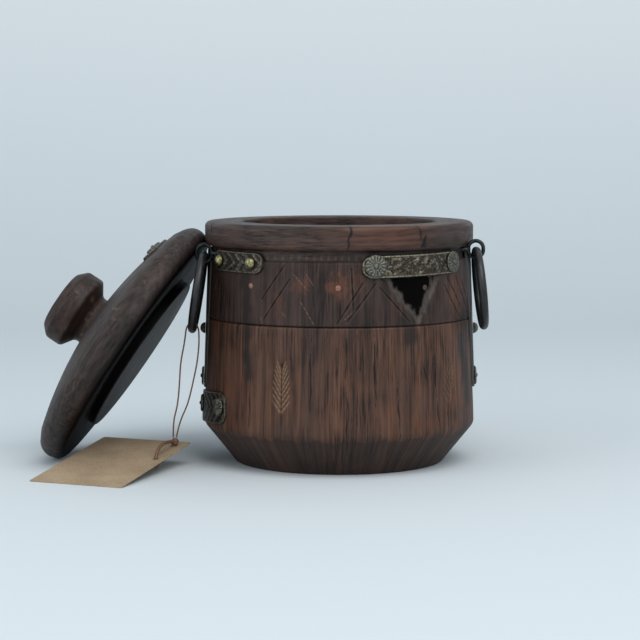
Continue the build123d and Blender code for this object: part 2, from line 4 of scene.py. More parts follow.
import bmesh
import bpy
import numpy as np
from bpy.props import FloatProperty, FloatVectorProperty, PointerProperty
from mathutils import Euler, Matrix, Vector


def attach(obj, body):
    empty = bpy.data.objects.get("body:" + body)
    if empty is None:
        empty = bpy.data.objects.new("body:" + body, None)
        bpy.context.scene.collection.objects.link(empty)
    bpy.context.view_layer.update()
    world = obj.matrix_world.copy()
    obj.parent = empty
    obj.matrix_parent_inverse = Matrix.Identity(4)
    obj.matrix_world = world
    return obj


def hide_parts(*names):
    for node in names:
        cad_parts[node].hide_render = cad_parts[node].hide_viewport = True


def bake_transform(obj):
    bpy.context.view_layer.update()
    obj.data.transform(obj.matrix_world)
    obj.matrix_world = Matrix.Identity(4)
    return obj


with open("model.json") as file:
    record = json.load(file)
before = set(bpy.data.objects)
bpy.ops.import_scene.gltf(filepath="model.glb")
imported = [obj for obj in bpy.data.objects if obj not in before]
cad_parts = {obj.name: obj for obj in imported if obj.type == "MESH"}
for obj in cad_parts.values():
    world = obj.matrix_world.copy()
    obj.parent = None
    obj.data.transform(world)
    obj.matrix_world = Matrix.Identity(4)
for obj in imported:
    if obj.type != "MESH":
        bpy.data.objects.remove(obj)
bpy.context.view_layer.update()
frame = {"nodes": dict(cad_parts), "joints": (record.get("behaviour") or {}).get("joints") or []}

bl_info = {
    "name": "Turned wooden canister",
    "version": (1, 0, 0),
    "blender": (4, 5, 0),
    "location": "View3D > Sidebar > Canister",
    "description": "Dresses a turned canister with straps, ring pulls, a leaning lid and a card tag",
    "category": "Object",
}

# Metres in one millimetre
MM = 0.001

# Pot, in millimetres: heights from the floor, radii from its axis
POT_HEIGHT = 157.0
BASE_RADIUS = 68.0
SHOULDER_RADIUS, SHOULDER_HEIGHT = 88.5, 25.5
MID_LINE, LINE_DEPTH = 94.4, 1.15
SIDE_START = 40.0
NECK_RADIUS, NECK_HEIGHT = 84.7, 134.1
RECESS_RADIUS, STEP_RISE = 83.4, 0.7
RIM_RADIUS, RIM_UNDER = 87.5, 141.2
RIM_UNDER_ROUND, RIM_TOP_ROUND = 4.0, 3.4
MOUTH_RADIUS, MOUTH_ROUND = 63.8, 1.6
FLOOR_HEIGHT, INSIDE_CORNER = 18.0, 9.0
WALL_LEAN = math.atan2(SHOULDER_RADIUS - NECK_RADIUS, NECK_HEIGHT - SHOULDER_HEIGHT)

# Half of the closely divided front, in degrees, and the cylinder that the grain is laid on
FRONT_SPAN, GRAIN_RADIUS = 78, 88.0

# Colour layers of the wood, laid on in this order; some also carry painted shade: under the lid, on the
# foot, in the neck's recess, below the knob's head
WOOD_LAYERS = {
    "warm": "#6e3f29", "stained": "#1d1614", "ash": "#4c4842", "pale": "#94765a",
    "burnt": "#050404", "dark": "#0a0605",
}

# Carved band: one zigzag for each peg, azimuths in degrees from the front towards +X
PEG_COUNT, PEG_FIRST, PEG_HEIGHT, PEG_RADIUS = 9, -0.9, 119.0, 1.8
SCORCHED_PEG, SCORCH_DROP, SCORCH_SINK = 1, 1.0, 1.2

# Half width of a carved cut, depth of a scratch and depth of a crack
CUT_HALF, SCRATCH_DEPTH, CRACK_DEPTH = 0.8, 0.15, 0.6

# Lines on the side: azimuth and height of the start, azimuth and height of the end
FRONT_CUTS = [
    (-23.9, 133, -34.9, 111), (-21.7, 124, -34.2, 97.5), (9.4, 122, -1.4, 97), (15.1, 122, 2.7, 98),
    (16.7, 119, 30.4, 97), (51.8, 125, 64, 104), (50.4, 119, 61.8, 98), (4.6, 131, 5.5, 104),
]
FRONT_SCRATCHES = [
    (-19.8, 127, -14, 118), (-16.9, 111, -11, 96.5), (-14.5, 128, -11.5, 121), (7.4, 107, 1.0, 99),
    (-25.0, 104, -23.5, 101), (-35.5, 99.5, -34.0, 97.6), (6.6, 92.5, 7.0, 90.5),
]
CRACKS = [
    (2.3, 96, 2.3, 60), (2.3, 60, 3.0, 11), (0.2, 110, -0.3, 97), (35.3, 72, 39.4, 58), (42, 74, 44, 50),
    (44, 50, 45.6, 24), (-12, 88, -12.4, 40), (14, 90, 14.4, 44), (-40, 66, -40.6, 30), (24, 60, 25, 22),
    (95, 90, 96, 50), (130, 128, 131, 70), (168, 90, 168.5, 30), (205, 130, 204, 100), (250, 80, 251, 35),
]

# Rim: its cracks and a notch, the count of tool marks under it and the azimuth of its flame grain
RIM_CRACKS = [
    (4.4, 157, 2.6, 141), (4.4, 157, 4.2, 150), (33.6, 157, 35.2, 149), (118, 157, 121, 143),
    (205, 157, 203, 144), (-70, 157, -69, 150),
]
RIM_NOTCH = (37.4, 150, 36.0, 141)
TOOL_MARKS, FLAME_MIDDLE = 110, 20

# Burnt triangle: azimuth and height of the point it is laid out from, and of its corners
BURN_MIDDLE = (34, 112)
BURN_CORNERS = [(13.6, 130.0), (49.6, 130.0), (34.6, 94.5)]

# Ears of grain: the stem's line, then how strongly it shows
EAR_PAIRS, EAR_REACH = 8, 10.6
EARS = [(-24.9, 33.5, -24.7, 70.5, 0.8), (50.5, 36.7, 56.3, 74.5, 0.3)]

# Rubbed warm patches: azimuth, height, reach round, reach up, strength
WARM_PATCHES = [
    (-1.0, 119, 8, 9, 0.95), (-17.5, 120, 7, 6, 0.6), (7.0, 125, 7, 8, 0.5), (61.0, 112, 12, 18, 0.75),
    (-49.0, 52, 15, 26, 0.5), (-24.0, 54, 9, 22, 0.45), (38.0, 33, 14, 7, 0.65), (-27.0, 108, 4, 9, 0.4),
    (60.0, 45, 12, 22, 0.4), (20.0, 40, 12, 10, 0.35), (3.0, 70, 8, 20, 0.25), (150.0, 60, 30, 30, 0.4),
    (-130.0, 80, 25, 30, 0.4),
]

# Dark runs: a line on the side, then the width of the run
STAINS = [
    (-43.5, 126, -42, 88, 5.0), (-42.5, 90, -41, 62, 4.0), (63, 86, 70.6, 42, 5.0),
    (29, 96, 30, 88, 7.0),
]

# Metal bands: azimuth, height, half length, half height, corner, tilt
SEAT = 0.05
BAND_THICKNESS = 1.5
RIGHT_BAND = (34.7, 132.3, 37.4, 7.2, 6.6, 1.1)
LEFT_BAND = (-51.0, 133.3, 24.8, 6.9, 6.2, -0.5)
LOW_PATCH = (-72.0, 38.0, 27.0, 10.6, 8.0, 4.0)
RIGHT_BAND_NAILS = ((14.6, 132.4), (55.6, 133.0))
LEFT_BAND_NAILS = ((-40.4, 133.2), (-61.7, 133.4))
LOW_PATCH_NAILS = ((-59.7, 40.2), (-84.6, 38.0))

# Leather straps: side, offset at the foot nail, lean
STRAP_THICKNESS, STRAP_WIDTH, STRAP_CORNER = 1.3, 22.4, 5.0
STRAP_TOP, STRAP_FOOT = 140.4, 48.4
STRAP_NAIL_HEIGHT, STRAP_ROSETTE_HEIGHT = 87.2, 55.5
LEFT_STRAP = (-1, 4.6, 4.0)
RIGHT_STRAP = (1, 2.0, 9.5)

# Nail heads
DOME_RADIUS, DOME_HEIGHT = 3.6, 3.3
BAND_ROSETTE, STRAP_ROSETTE, PATCH_ROSETTE, LID_ROSETTE = 6.9, 6.2, 5.8, 5.4
ROSETTE_PETALS = 16

# Eyes and rings
EYE_Y = -30.0
EYES = {"left": (-86.8, 137.3), "right": (87.2, 139.9)}
EYE_RADIUS, EYE_STRAIGHT, EYE_WIRE = 4.8, 1.2, 1.25
EYE_SHANK, EYE_SHANK_LENGTH = 1.4, 14.0
RING_RADIUS, RING_TUBE = 24.1, 2.7
RING_LEANS = {"left": 8.752, "right": 5.860}

# Lid: its lean, its centre, and sizes along its axis from the flange's underside
LID_TILT, LID_HEADING = 56.332, 5.1
LID_CENTRE = (-133.614, 5.0, 70.8147)
LID_RADIUS, LID_UNDER_RADIUS = 89.2, 78.2
LID_EDGE_W, LID_EDGE_ROUND, LID_EDGE_START, LID_EDGE_SWEEP = 9.2, 10.0, -62.0, 115.0
LID_DOME_RADIUS, LID_DOME_EDGE_W, LID_DOME_TOP_W = 80.0, 20.2, 33.4
LID_RISE = LID_DOME_TOP_W - LID_DOME_EDGE_W
LID_SPHERE = (LID_DOME_RADIUS**2 + LID_RISE**2) / (2 * LID_RISE)
PLUG_RADIUS, PLUG_DEPTH = 55.7, 5.0
# Turn about the lid's axis, in degrees, where its edge is scuffed most
LID_SCUFFED = 385
KNOB_FOOT, KNOB_WAIST, KNOB_RADIUS, KNOB_TOP_RADIUS = 17.6, 16.5, 25.5, 19.6
KNOB_COVE = 3.7
KNOB_SEAT_W, KNOB_WAIST_W, KNOB_NECK_W = 32.4, 35.9, 38.8
KNOB_LOW_W, KNOB_HIGH_W, KNOB_TOP_W = 44.2, 54.7, 60.6

# Small patch: distance from the lid's middle, turn from uphill, length, height, corner
LID_PATCH = (67.0, 14.5, 28.0, 12.4, 4.0)

# Twine: the routes of the loop and of its tail, in metres, and the knots at their ends, in millimetres
TWINE_STEP = 0.00035
TWINE_DIAMETER = 0.0011
TWINE_ROUTE = [
    (-0.1070, -0.0340, 0.0187), (-0.1072, -0.0332, 0.0285), (-0.1042, -0.0320, 0.0395),
    (-0.1030, -0.0310, 0.0530), (-0.1023, -0.0305, 0.0670), (-0.0995, -0.0302, 0.0805),
    (-0.0982, -0.0302, 0.0924), (-0.0908, -0.0302, 0.0924), (-0.0901, -0.0304, 0.0805),
    (-0.0915, -0.0310, 0.0670), (-0.0945, -0.0318, 0.0530), (-0.0976, -0.0326, 0.0400),
    (-0.1031, -0.0336, 0.0285), (-0.1050, -0.0340, 0.0187),
]
TAIL_DIAMETER = 0.0023
TAIL_ROUTE = [
    (-0.1163, -0.0601, 0.00815), (-0.1160, -0.0593, 0.0115), (-0.1152, -0.0572, 0.0142),
    (-0.1138, -0.0538, 0.0163), (-0.1118, -0.0486, 0.0173), (-0.1093, -0.0424, 0.0174),
    (-0.1070, -0.0365, 0.0164),
]
JOIN_KNOT, JOIN_KNOT_RADIUS = (-106.0, -34.0, 16.0), 2.6
STOP_KNOT, STOP_KNOT_RADIUS = (-116.3, -60.1, 5.7), 2.4

# Camera, worked out from the rim's and the foot's ellipses
CAMERA_PLACE = (-12.56, -1350.28, 215.91)
CAMERA_PITCH = 5.2595
CAMERA_LENS, CAMERA_SENSOR, CAMERA_FAR = 116.1, 36.0, 20.0

# Stage, in millimetres from the pot's foot; the blend height is in metres
SWEEP_FRONT, SWEEP_BACK, SWEEP_BEND = -2200, 900.0, 900.0
SWEEP_TOP, SWEEP_SIDE = 3200, 3000
BLEND_HEIGHT, WORLD_STRENGTH = 0.55, 0.9


# Surfaces
def wall_radius(height):
    """Radius of the pot's side: a straight line from the shoulder to the neck."""
    share = (height - SHOULDER_HEIGHT) / (NECK_HEIGHT - SHOULDER_HEIGHT)
    return SHOULDER_RADIUS + (NECK_RADIUS - SHOULDER_RADIUS) * share


def wall_points(azimuth, height, radius):
    """Cylinder coordinates to points: x = r sin a, y = -r cos a, z."""
    a = np.radians(azimuth)
    return np.stack(np.broadcast_arrays(radius * np.sin(a), -radius * np.cos(a), height), -1)


def polar(radius, angle, height):
    """Points from a radius, an angle and a height: x = r cos t, y = r sin t, z."""
    return np.stack(np.broadcast_arrays(radius * np.cos(angle), radius * np.sin(angle), height), -1)


def round_angles(count, start=0.0):
    """A row of even angles once round from a start, in radians."""
    return np.linspace(start, start + 2 * np.pi, count, endpoint=False)[None, :]


def front_first(front, back):
    """Azimuths once round the pot, closer together over the part the camera sees."""
    near = np.linspace(-FRONT_SPAN, FRONT_SPAN, front, endpoint=False)
    return np.concatenate([near, np.linspace(FRONT_SPAN, 360 - FRONT_SPAN, back, endpoint=False)])[None, :]


def turn_from(azimuth, middle):
    """Degrees from a middle azimuth, between -180 and 180."""
    return (azimuth - middle + 180) % 360 - 180


def pot_grain(azimuth, along):
    """Shading coordinates on a straight cylinder: the azimuth, and the length up the profile."""
    return wall_points(azimuth, along, GRAIN_RADIUS + 0 * along)


def lengths_along(line):
    """Length along a line up to each of its points."""
    steps = np.linalg.norm(np.diff(line, axis=0), axis=1)
    return np.concatenate([[0], np.cumsum(steps)])


def layers(shape, **given):
    """A value of every colour layer for each point: those given, and zero for the rest."""
    return {key: given.get(key, 0) + np.zeros(shape) for key in WOOD_LAYERS}


def grid_faces(rows, columns, close_rows=False, close_columns=True):
    """Quads between neighbouring points of a grid, joined round where it is closed."""
    i, j = np.meshgrid(
        np.arange(rows if close_rows else rows - 1),
        np.arange(columns if close_columns else columns - 1),
        indexing="ij",
    )
    up, across = (i + 1) % rows, (j + 1) % columns
    corners = [i * columns + j, i * columns + across, up * columns + across, up * columns + j]
    return np.stack(corners, -1).reshape(-1, 4)


def show(name, data):
    """An object made from its data and linked to the scene."""
    item = bpy.data.objects.new(name, data)
    bpy.context.scene.collection.objects.link(item)
    return item


def add_surface(name, points, material, values=None, faces=None, uv=None, grain=None):
    """A mesh from points in millimetres, merged at its poles and seams, with outward faces."""
    if faces is None:
        faces = grid_faces(*points.shape[:2])
    mesh = bpy.data.meshes.new(name)
    flat = np.asarray(points, float).reshape(-1, 3) * MM
    mesh.vertices.add(len(flat))
    mesh.vertices.foreach_set("co", flat.ravel())
    mesh.loops.add(faces.size)
    mesh.loops.foreach_set("vertex_index", faces.ravel().astype(np.int32))
    mesh.polygons.add(len(faces))
    mesh.polygons.foreach_set("loop_start", np.arange(0, faces.size, 4, dtype=np.int32))
    mesh.update(calc_edges=True)
    for key, value in (values or {}).items():
        attribute = mesh.attributes.new(key, "FLOAT", "POINT")
        attribute.data.foreach_set("value", np.asarray(value, np.float32).ravel())
    if grain is not None:
        attribute = mesh.attributes.new("grain", "FLOAT_VECTOR", "POINT")
        attribute.data.foreach_set("vector", (grain.reshape(-1, 3) * MM).astype(np.float32).ravel())
    if uv is not None:
        layer = mesh.uv_layers.new(name="UVMap")
        layer.data.foreach_set("uv", uv.reshape(-1, 2)[faces.ravel()].astype(np.float32).ravel())
    work = bmesh.new()
    work.from_mesh(mesh)
    bmesh.ops.remove_doubles(work, verts=work.verts, dist=0.002 * MM)
    bmesh.ops.dissolve_degenerate(work, edges=work.edges, dist=0.001 * MM)
    bmesh.ops.recalc_face_normals(work, faces=work.faces)
    work.to_mesh(mesh)
    work.free()
    mesh.shade_smooth()
    mesh.materials.append(material)
    return show(name, mesh)


def dress(piece, body, slot, *nodes):
    """The piece rides on a body and stands for solids, which it hides; the slot is not used."""
    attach(piece, body)
    if nodes:
        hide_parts(*nodes)


def dense(corners, spacing):
    """Points along straight runs between corners, no further apart than the spacing."""
    runs = []
    for start, end in zip(corners, corners[1:]):
        start, end = np.array(start, float), np.array(end, float)
        count = max(2, int(np.ceil(np.linalg.norm(end - start) / spacing)) + 1)
        runs.append(start + (end - start) * np.linspace(0, 1, count)[:-1, None])
    return np.concatenate(runs + [np.array([corners[-1]], float)])


def arc(centre, radius, start, end, count=9):
    """Points on a circle from one angle to another, in degrees."""
    t = np.radians(np.linspace(start, end, count))
    return [(centre[0] + radius * np.cos(a), centre[1] + radius * np.sin(a)) for a in t]


def rounded(corners, radii, count=5):
    """A corner list with each named corner cut back and rounded by a quadratic curve."""
    points = []
    for i, corner in enumerate(corners):
        radius = radii.get(i, 0)
        if not radius:
            points.append(corner)
            continue
        here = np.array(corner, float)
        before = np.array(corners[i - 1], float) - here
        after = np.array(corners[(i + 1) % len(corners)], float) - here
        a = here + before / np.linalg.norm(before) * radius
        b = here + after / np.linalg.norm(after) * radius
        for t in np.linspace(0, 1, count):
            points.append(tuple((1 - t) ** 2 * a + 2 * t * (1 - t) * here + t**2 * b))
    return points


def tube(path, radius, sides, closed=False, lobes=0, twist=0.0):
    """A round section carried along a path; lobes pinch it into strands that turn with length."""
    path = np.asarray(path, float)
    ahead = np.roll(path, -1, 0) - np.roll(path, 1, 0)
    if not closed:
        ahead[0], ahead[-1] = path[1] - path[0], path[-1] - path[-2]
    ahead /= np.linalg.norm(ahead, axis=1)[:, None]
    side = np.cross(ahead, np.array([0.13, 1.0, 0.07]))
    side /= np.linalg.norm(side, axis=1)[:, None]
    up = np.cross(side, ahead)
    along = lengths_along(path)[:, None]
    t = round_angles(sides)
    size = radius * (1 - 0.28 * np.cos(lobes * (t + twist * along)) ** 2 * (lobes > 0))
    ring = np.cos(t)[..., None] * side[:, None] + np.sin(t)[..., None] * up[:, None]
    return path[:, None] + ring * size[..., None]


def capped(rings):
    """Rings of points with both ends drawn to their middles."""
    first = np.broadcast_to(rings[0].mean(0), rings[0].shape)
    last = np.broadcast_to(rings[-1].mean(0), rings[-1].shape)
    return np.concatenate([first[None], rings, last[None]])


def smooth_step(x):
    """Zero below 0, one above 1, and a smooth cubic between."""
    x = np.clip(x, 0, 1)
    return x * x * (3 - 2 * x)


def ridge(away, width, level=1.0):
    """The level on a line, falling straight by one over each width away from it, held to 0 to 1."""
    return np.clip(level - away / width, 0, 1)


def soft_noise(shape, cell, seed):
    """Seeded random values on a coarse grid, blended smoothly to the full shape."""
    generator = np.random.default_rng(seed)
    rows, columns = (max(2, int(n / cell) + 2) for n in shape)
    coarse = generator.random((rows, columns))
    y = np.linspace(0, rows - 1.001, shape[0])
    x = np.linspace(0, columns - 1.001, shape[1])
    iy, ix = y.astype(int), x.astype(int)
    fy, fx = smooth_step(y - iy)[:, None], smooth_step(x - ix)[None, :]
    low = coarse[np.ix_(iy, ix)] * (1 - fx) + coarse[np.ix_(iy, ix + 1)] * fx
    high = coarse[np.ix_(iy + 1, ix)] * (1 - fx) + coarse[np.ix_(iy + 1, ix + 1)] * fx
    return low * (1 - fy) + high * fy


# Carving on the pot's side
def mm_per_degree(height):
    """Length of one degree of azimuth on the side at a height."""
    return math.radians(1) * wall_radius(height)


def line_distance(azimuth, height, cut):
    """Millimetres on the side from each point to a straight cut, and the share along it."""
    a0, z0, a1, z1 = cut
    middle = (a0 + a1) / 2
    scale = mm_per_degree((z0 + z1) / 2)
    x = (turn_from(azimuth, middle) - (a0 - middle)) * scale
    y = height - z0
    dx, dy = (a1 - a0) * scale, z1 - z0
    share = np.clip((x * dx + y * dy) / (dx * dx + dy * dy), 0, 1)
    return np.hypot(x - share * dx, y - share * dy), share


def zigzag_cuts():
    """Two parallel cuts down each slope of the zigzag, where the front's own list has none."""
    cuts = []
    for i in range(2, PEG_COUNT - 1):
        low = PEG_FIRST + 360 / PEG_COUNT * i
        cuts += [
            (low - 0.5, 97, low + 10.3, 122), (low + 3.6, 98, low + 16, 122),
            (low - 1.5, 98, low - 13.5, 121), (low - 6, 98, low - 19.5, 124),
        ]
    return cuts


def burn_share(azimuth, height):
    """How deep inside the burnt triangle each point lies, in millimetres, negative outside."""
    scale = mm_per_degree(BURN_MIDDLE[1])
    corners = [((a - BURN_MIDDLE[0]) * scale, z) for a, z in BURN_CORNERS]
    x = turn_from(azimuth, BURN_MIDDLE[0]) * scale
    inside = np.full(np.broadcast(azimuth, height).shape, np.inf)
    for (x0, z0), (x1, z1) in zip(corners, corners[1:] + corners[:1]):
        length = math.hypot(x1 - x0, z1 - z0)
        inside = np.minimum(inside, -((x1 - x0) * (height - z0) - (z1 - z0) * (x - x0)) / length)
    return inside


def ear(azimuth, height, stem):
    """A carved ear of grain: a stem, and pairs of barbs that rise outwards from it."""
    spread = line_distance(azimuth, height, stem)[0]
    dark = ridge(spread, 0.45, 1.2)
    pale = np.zeros_like(spread)
    a0, z0, a1, z1 = stem
    scale = mm_per_degree((z0 + z1) / 2)
    for foot in 0.2 + 0.66 * np.arange(EAR_PAIRS) / (EAR_PAIRS - 1):
        foot_a, foot_z = a0 + (a1 - a0) * foot, z0 + (z1 - z0) * foot
        lean = 0.72 - 0.4 * foot
        length = EAR_REACH * (0.5 + 0.5 * math.sin(math.pi * (foot + 0.02)) ** 0.8)
        for side in (-1, 1):
            tip = (foot_a + side * lean * length / scale, foot_z + (1.25 - 0.7 * lean) * length)
            away, share = line_distance(azimuth, height, (foot_a, foot_z, *tip))
            pale = np.maximum(pale, ridge(away, 1.0 - 0.7 * share, 1.3))
    low = z0 + 0.16 * (z1 - z0)
    rise = np.clip((height - low) / (z1 + 4 - low), 0.02, 0.98)
    gaps = smooth_step(1.0 - spread / (7.5 * np.sin(np.pi * rise) + 0.1)) * (1 - pale)
    return np.maximum(dark, gaps), pale * (1 - dark), 0.35 * gaps + 0.4 * dark


def carve(azimuth, height, sizes):
    """Depth in millimetres and every finish layer for points of the pot's side."""
    depth = np.zeros(np.broadcast(azimuth, height).shape)
    dark, pale, stained, warm = (np.zeros_like(depth) for _ in range(4))
    for cut in FRONT_CUTS + zigzag_cuts():
        away, share = line_distance(azimuth, height, cut)
        wobble = 0.18 * np.sin(share * 23 + cut[0])
        fade = 0.55 + 0.45 * np.sin(np.pi * np.clip(share, 0.05, 0.95))
        depth += sizes.cut_depth / MM * fade * ridge(away + wobble, CUT_HALF)
        dark = np.maximum(dark, ridge(away + 0.6 * wobble, 0.34, 1.5) * (0.7 + 0.3 * fade))
        pale = np.maximum(pale, 0.12 * fade * ridge(abs(away - 1.05), 0.35))
    for cut in FRONT_SCRATCHES:
        away, share = line_distance(azimuth, height, cut)
        depth += SCRATCH_DEPTH * ridge(away, 0.5)
        broken = 0.55 + 0.45 * np.sin(share * 31 + cut[1])
        pale = np.maximum(pale, 0.6 * broken * ridge(away, 0.3, 1.1))
    for cut in CRACKS:
        wander = 0.22 * np.sin(height / 5.3 + cut[0]) + 0.1 * np.sin(height / 1.9 + 2 * cut[0])
        away, share = line_distance(azimuth + wander, height, cut)
        width = (0.42 + 0.2 * np.sin(height / 2.7 + cut[0])) * np.sin(np.pi * np.clip(share, 0.06, 0.94))
        width = np.maximum(width, 0.1)
        depth += CRACK_DEPTH * ridge(away, width)
        dark = np.maximum(dark, ridge(away, width, 1.4))
    inside = burn_share(azimuth, height)
    depth += sizes.burn_depth / MM * smooth_step((inside + 0.3) / 2.2)
    ragged = inside + 4.0 * (soft_noise(depth.shape, 9, 3) - 0.5)
    ragged = ragged + 1.6 * (soft_noise(depth.shape, 3, 4) - 0.5)
    burnt = smooth_step((ragged - 2.4) / 3.4)
    ash = 0.6 * smooth_step((ragged + 0.8) / 3.0) * (1 - burnt)
    for *stem, strength in EARS:
        ear_dark, ear_pale, ear_depth = ear(azimuth, height, stem)
        dark = np.maximum(dark, 0.7 * strength * ear_dark)
        pale = np.maximum(pale, 0.8 * strength * ear_pale * (0.75 + 0.25 * np.sin(height * 2.3 + azimuth)))
        depth += ear_depth * (0.4 + 0.6 * strength)
    blotch = 0.9 * (soft_noise(depth.shape, 7, 21) - 0.5) + 0.5 * (soft_noise(depth.shape, 3, 22) - 0.5)
    for middle, level, reach_across, reach_up, strength in WARM_PATCHES:
        x = turn_from(azimuth, middle) * mm_per_degree(level) / reach_across
        y = (height - level) / reach_up
        warm = np.maximum(warm, 0.85 * strength * smooth_step(1.15 - np.hypot(x, y) + 1.4 * blotch))
    streaks = 5.0 * (soft_noise(depth.shape, 11, 9) - 0.5) + 1.2 * np.sin(azimuth * 5.3 + height / 6)
    for *line, width in STAINS:
        away = line_distance(azimuth, height, line)[0] + streaks
        stained = np.maximum(stained, 0.85 * smooth_step(1.25 - away / width))
    values = layers(depth.shape, dark=dark, pale=pale, burnt=burnt, stained=stained, warm=warm, ash=ash)
    return depth, values


def uneven(azimuth, height, size=0.12):
    """Slight waves in a hand-finished turning, in millimetres."""
    a = np.radians(azimuth)
    return size * (np.sin(3 * a + height / 17) + 0.6 * np.sin(11 * a - height / 7) + 0.4 * np.sin(29 * a))


def make_wall(sizes, material):
    """Foot, chamfer and side up to the turned line: a profile turned about Z, less the carving's depth."""
    azimuth = front_first(540, 200)
    corners = [(0, 0), (BASE_RADIUS, 0), (SHOULDER_RADIUS, SHOULDER_HEIGHT)]
    corners.append((wall_radius(SIDE_START), SIDE_START))
    foot = dense(rounded(corners, {1: 1.5, 2: 2.6}), 1.6)
    flat = foot[:, 0] < BASE_RADIUS - 8
    foot = np.concatenate([foot[flat][::8], foot[~flat]])
    rise = np.linspace(SIDE_START, MID_LINE - 0.9, 84)[1:]
    side = np.stack([wall_radius(rise), rise], 1)
    profile = np.concatenate([foot, side, [(wall_radius(MID_LINE) - LINE_DEPTH, MID_LINE)]])
    r, z = profile[:, 0:1], profile[:, 1:2]
    depth, values = carve(azimuth, z, sizes)
    on_side = smooth_step((z - 2) / 6)
    not_under = r > 60
    radius = r - (depth + uneven(azimuth, z)) * on_side * not_under
    values = {key: value * on_side for key, value in values.items()}
    # Painted shade on the foot's chamfer, below a ragged line under the shoulder, laid on with the stains
    ragged = SHOULDER_HEIGHT - 1.2 + 0.7 * np.sin(azimuth / 2.3) + 0.5 * np.sin(azimuth / 0.9)
    foot_shade = 0.55 * smooth_step((ragged - z) / 1.2) * not_under
    values["stained"] = np.maximum(values["stained"], foot_shade)
    along = lengths_along(profile)
    grain = pot_grain(azimuth, (along - along[-1] + MID_LINE)[:, None])
    wall = add_surface("pot_wall", wall_points(azimuth, z, radius), material, values, grain=grain)
    dress(wall, "pot", "pot_wood", "pot_body")


def make_carved_band(sizes, material):
    """The band between the two turned lines: the side's cone, less the depth of the carving."""
    azimuth = front_first(800, 300)
    z = np.linspace(MID_LINE, NECK_HEIGHT + STEP_RISE, 82)[:, None]
    depth, values = carve(azimuth, z, sizes)
    line = ridge(z - MID_LINE, 0.9) * LINE_DEPTH
    ends = smooth_step(z - MID_LINE) * smooth_step(NECK_HEIGHT + STEP_RISE - z)
    fall = np.clip((z - NECK_HEIGHT) / STEP_RISE, 0, 1) * (NECK_RADIUS - RECESS_RADIUS)
    radius = wall_radius(z) - line - fall - (depth + uneven(azimuth, z)) * ends
    values["dark"] = np.maximum(values["dark"], 0.9 * ridge(z - MID_LINE, 0.8, 1.3))
    points = wall_points(azimuth, z, radius)
    band = add_surface("pot_carved_band", points, material, values, grain=pot_grain(azimuth, z))
    dress(band, "pot", "pot_wood", "pot_body")


def make_rim(material):
    """Sunk neck, rounded rim, mouth and inside down to the floor: one profile turned about Z."""
    azimuth = front_first(460, 260)
    profile = [(RECESS_RADIUS, NECK_HEIGHT + STEP_RISE), (RECESS_RADIUS, RIM_UNDER)]
    profile += arc((RIM_RADIUS - RIM_UNDER_ROUND, RIM_UNDER + RIM_UNDER_ROUND), RIM_UNDER_ROUND, -88, 0)
    profile += arc((RIM_RADIUS - RIM_TOP_ROUND, POT_HEIGHT - RIM_TOP_ROUND), RIM_TOP_ROUND, 0, 90)
    profile += arc((MOUTH_RADIUS + MOUTH_ROUND, POT_HEIGHT - MOUTH_ROUND), MOUTH_ROUND, 90, 180)
    corner = arc((MOUTH_RADIUS - INSIDE_CORNER, FLOOR_HEIGHT + INSIDE_CORNER), INSIDE_CORNER, 0, -90)
    inside = dense([profile[-1]] + corner + [(0, FLOOR_HEIGHT)], 5.0)[1:]
    profile = np.concatenate([dense(profile, 1.1), inside])
    r, z = profile[:, 0:1], profile[:, 1:2]
    above_neck = z - NECK_HEIGHT
    depth = np.zeros((len(profile), azimuth.size))
    dark = np.zeros_like(depth)
    outside = (r > 78) * smooth_step((z - RIM_UNDER) / 3)
    for cut in RIM_CRACKS:
        away = line_distance(azimuth + 0.3 * np.sin(z / 1.3), z, cut)[0]
        depth += 0.5 * outside * ridge(away, 0.7)
        dark = np.maximum(dark, outside * ridge(away, 0.75, 1.2))
    away, share = line_distance(azimuth, z, RIM_NOTCH)
    notch = smooth_step(1.5 - away / (0.6 + 1.9 * share))
    depth += 0.9 * outside * notch
    dark = np.maximum(dark, outside * notch)
    a = np.radians(azimuth)
    marks = np.clip(np.sin(TOOL_MARKS * a + 2.0 * np.sin(7 * a)) - 0.2, 0, 1)
    in_recess = (abs(r - RECESS_RADIUS) < 0.2) * (z < RIM_UNDER)
    depth += 0.45 * in_recess * marks * smooth_step((above_neck - 1.5) / 2)
    # Painted shade in the neck's recess under the rim: darker between the tool marks, and darkest at its
    # foot
    dark = np.maximum(dark, in_recess * (0.35 - 0.3 * marks))
    dark = np.maximum(dark, in_recess * ridge(above_neck, 1.1, 1.6) * 0.95)
    meets_band = ridge(above_neck - STEP_RISE, 0.8) * (r > 78)
    radius = r - (depth + uneven(azimuth, z, 0.1) * (r > 60)) * (1 - meets_band)
    flame = smooth_step(1.2 - abs(turn_from(azimuth, FLAME_MIDDLE)) / 24) * outside
    flame = flame * (0.6 + 0.4 * np.sin(z * 1.9 + 0.5 * np.sin(azimuth / 3)))
    pale = 0.16 * in_recess * marks * smooth_step((above_neck - 1.5) / 1.5)
    pale = pale * smooth_step((4.6 - above_neck) / 1.2)
    values = layers(depth.shape, dark=dark, pale=pale, warm=0.85 * flame)
    grain = pot_grain(azimuth, (NECK_HEIGHT + lengths_along(profile))[:, None])
    rim = add_surface("pot_rim", wall_points(azimuth, z, radius), material, values, grain=grain)
    dress(rim, "pot", "pot_wood", "pot_body")


def wall_frame(azimuth, height, proud=0.0):
    """Origin and axes on the pot's side: x round it, y up it, z out of it."""
    a = math.radians(azimuth)
    level = math.cos(WALL_LEAN)
    out = np.array([math.sin(a) * level, -math.cos(a) * level, math.sin(WALL_LEAN)])
    x = np.array([math.cos(a), math.sin(a), 0.0])
    r = wall_radius(height)
    origin = np.array([r * math.sin(a), -r * math.cos(a), height]) + out * proud
    return origin, x, np.cross(out, x), out


def place(local, base):
    """Local points carried into a frame of origin and three axes."""
    origin, x, y, z = base
    return origin + local[..., 0:1] * x + local[..., 1:2] * y + local[..., 2:3] * z


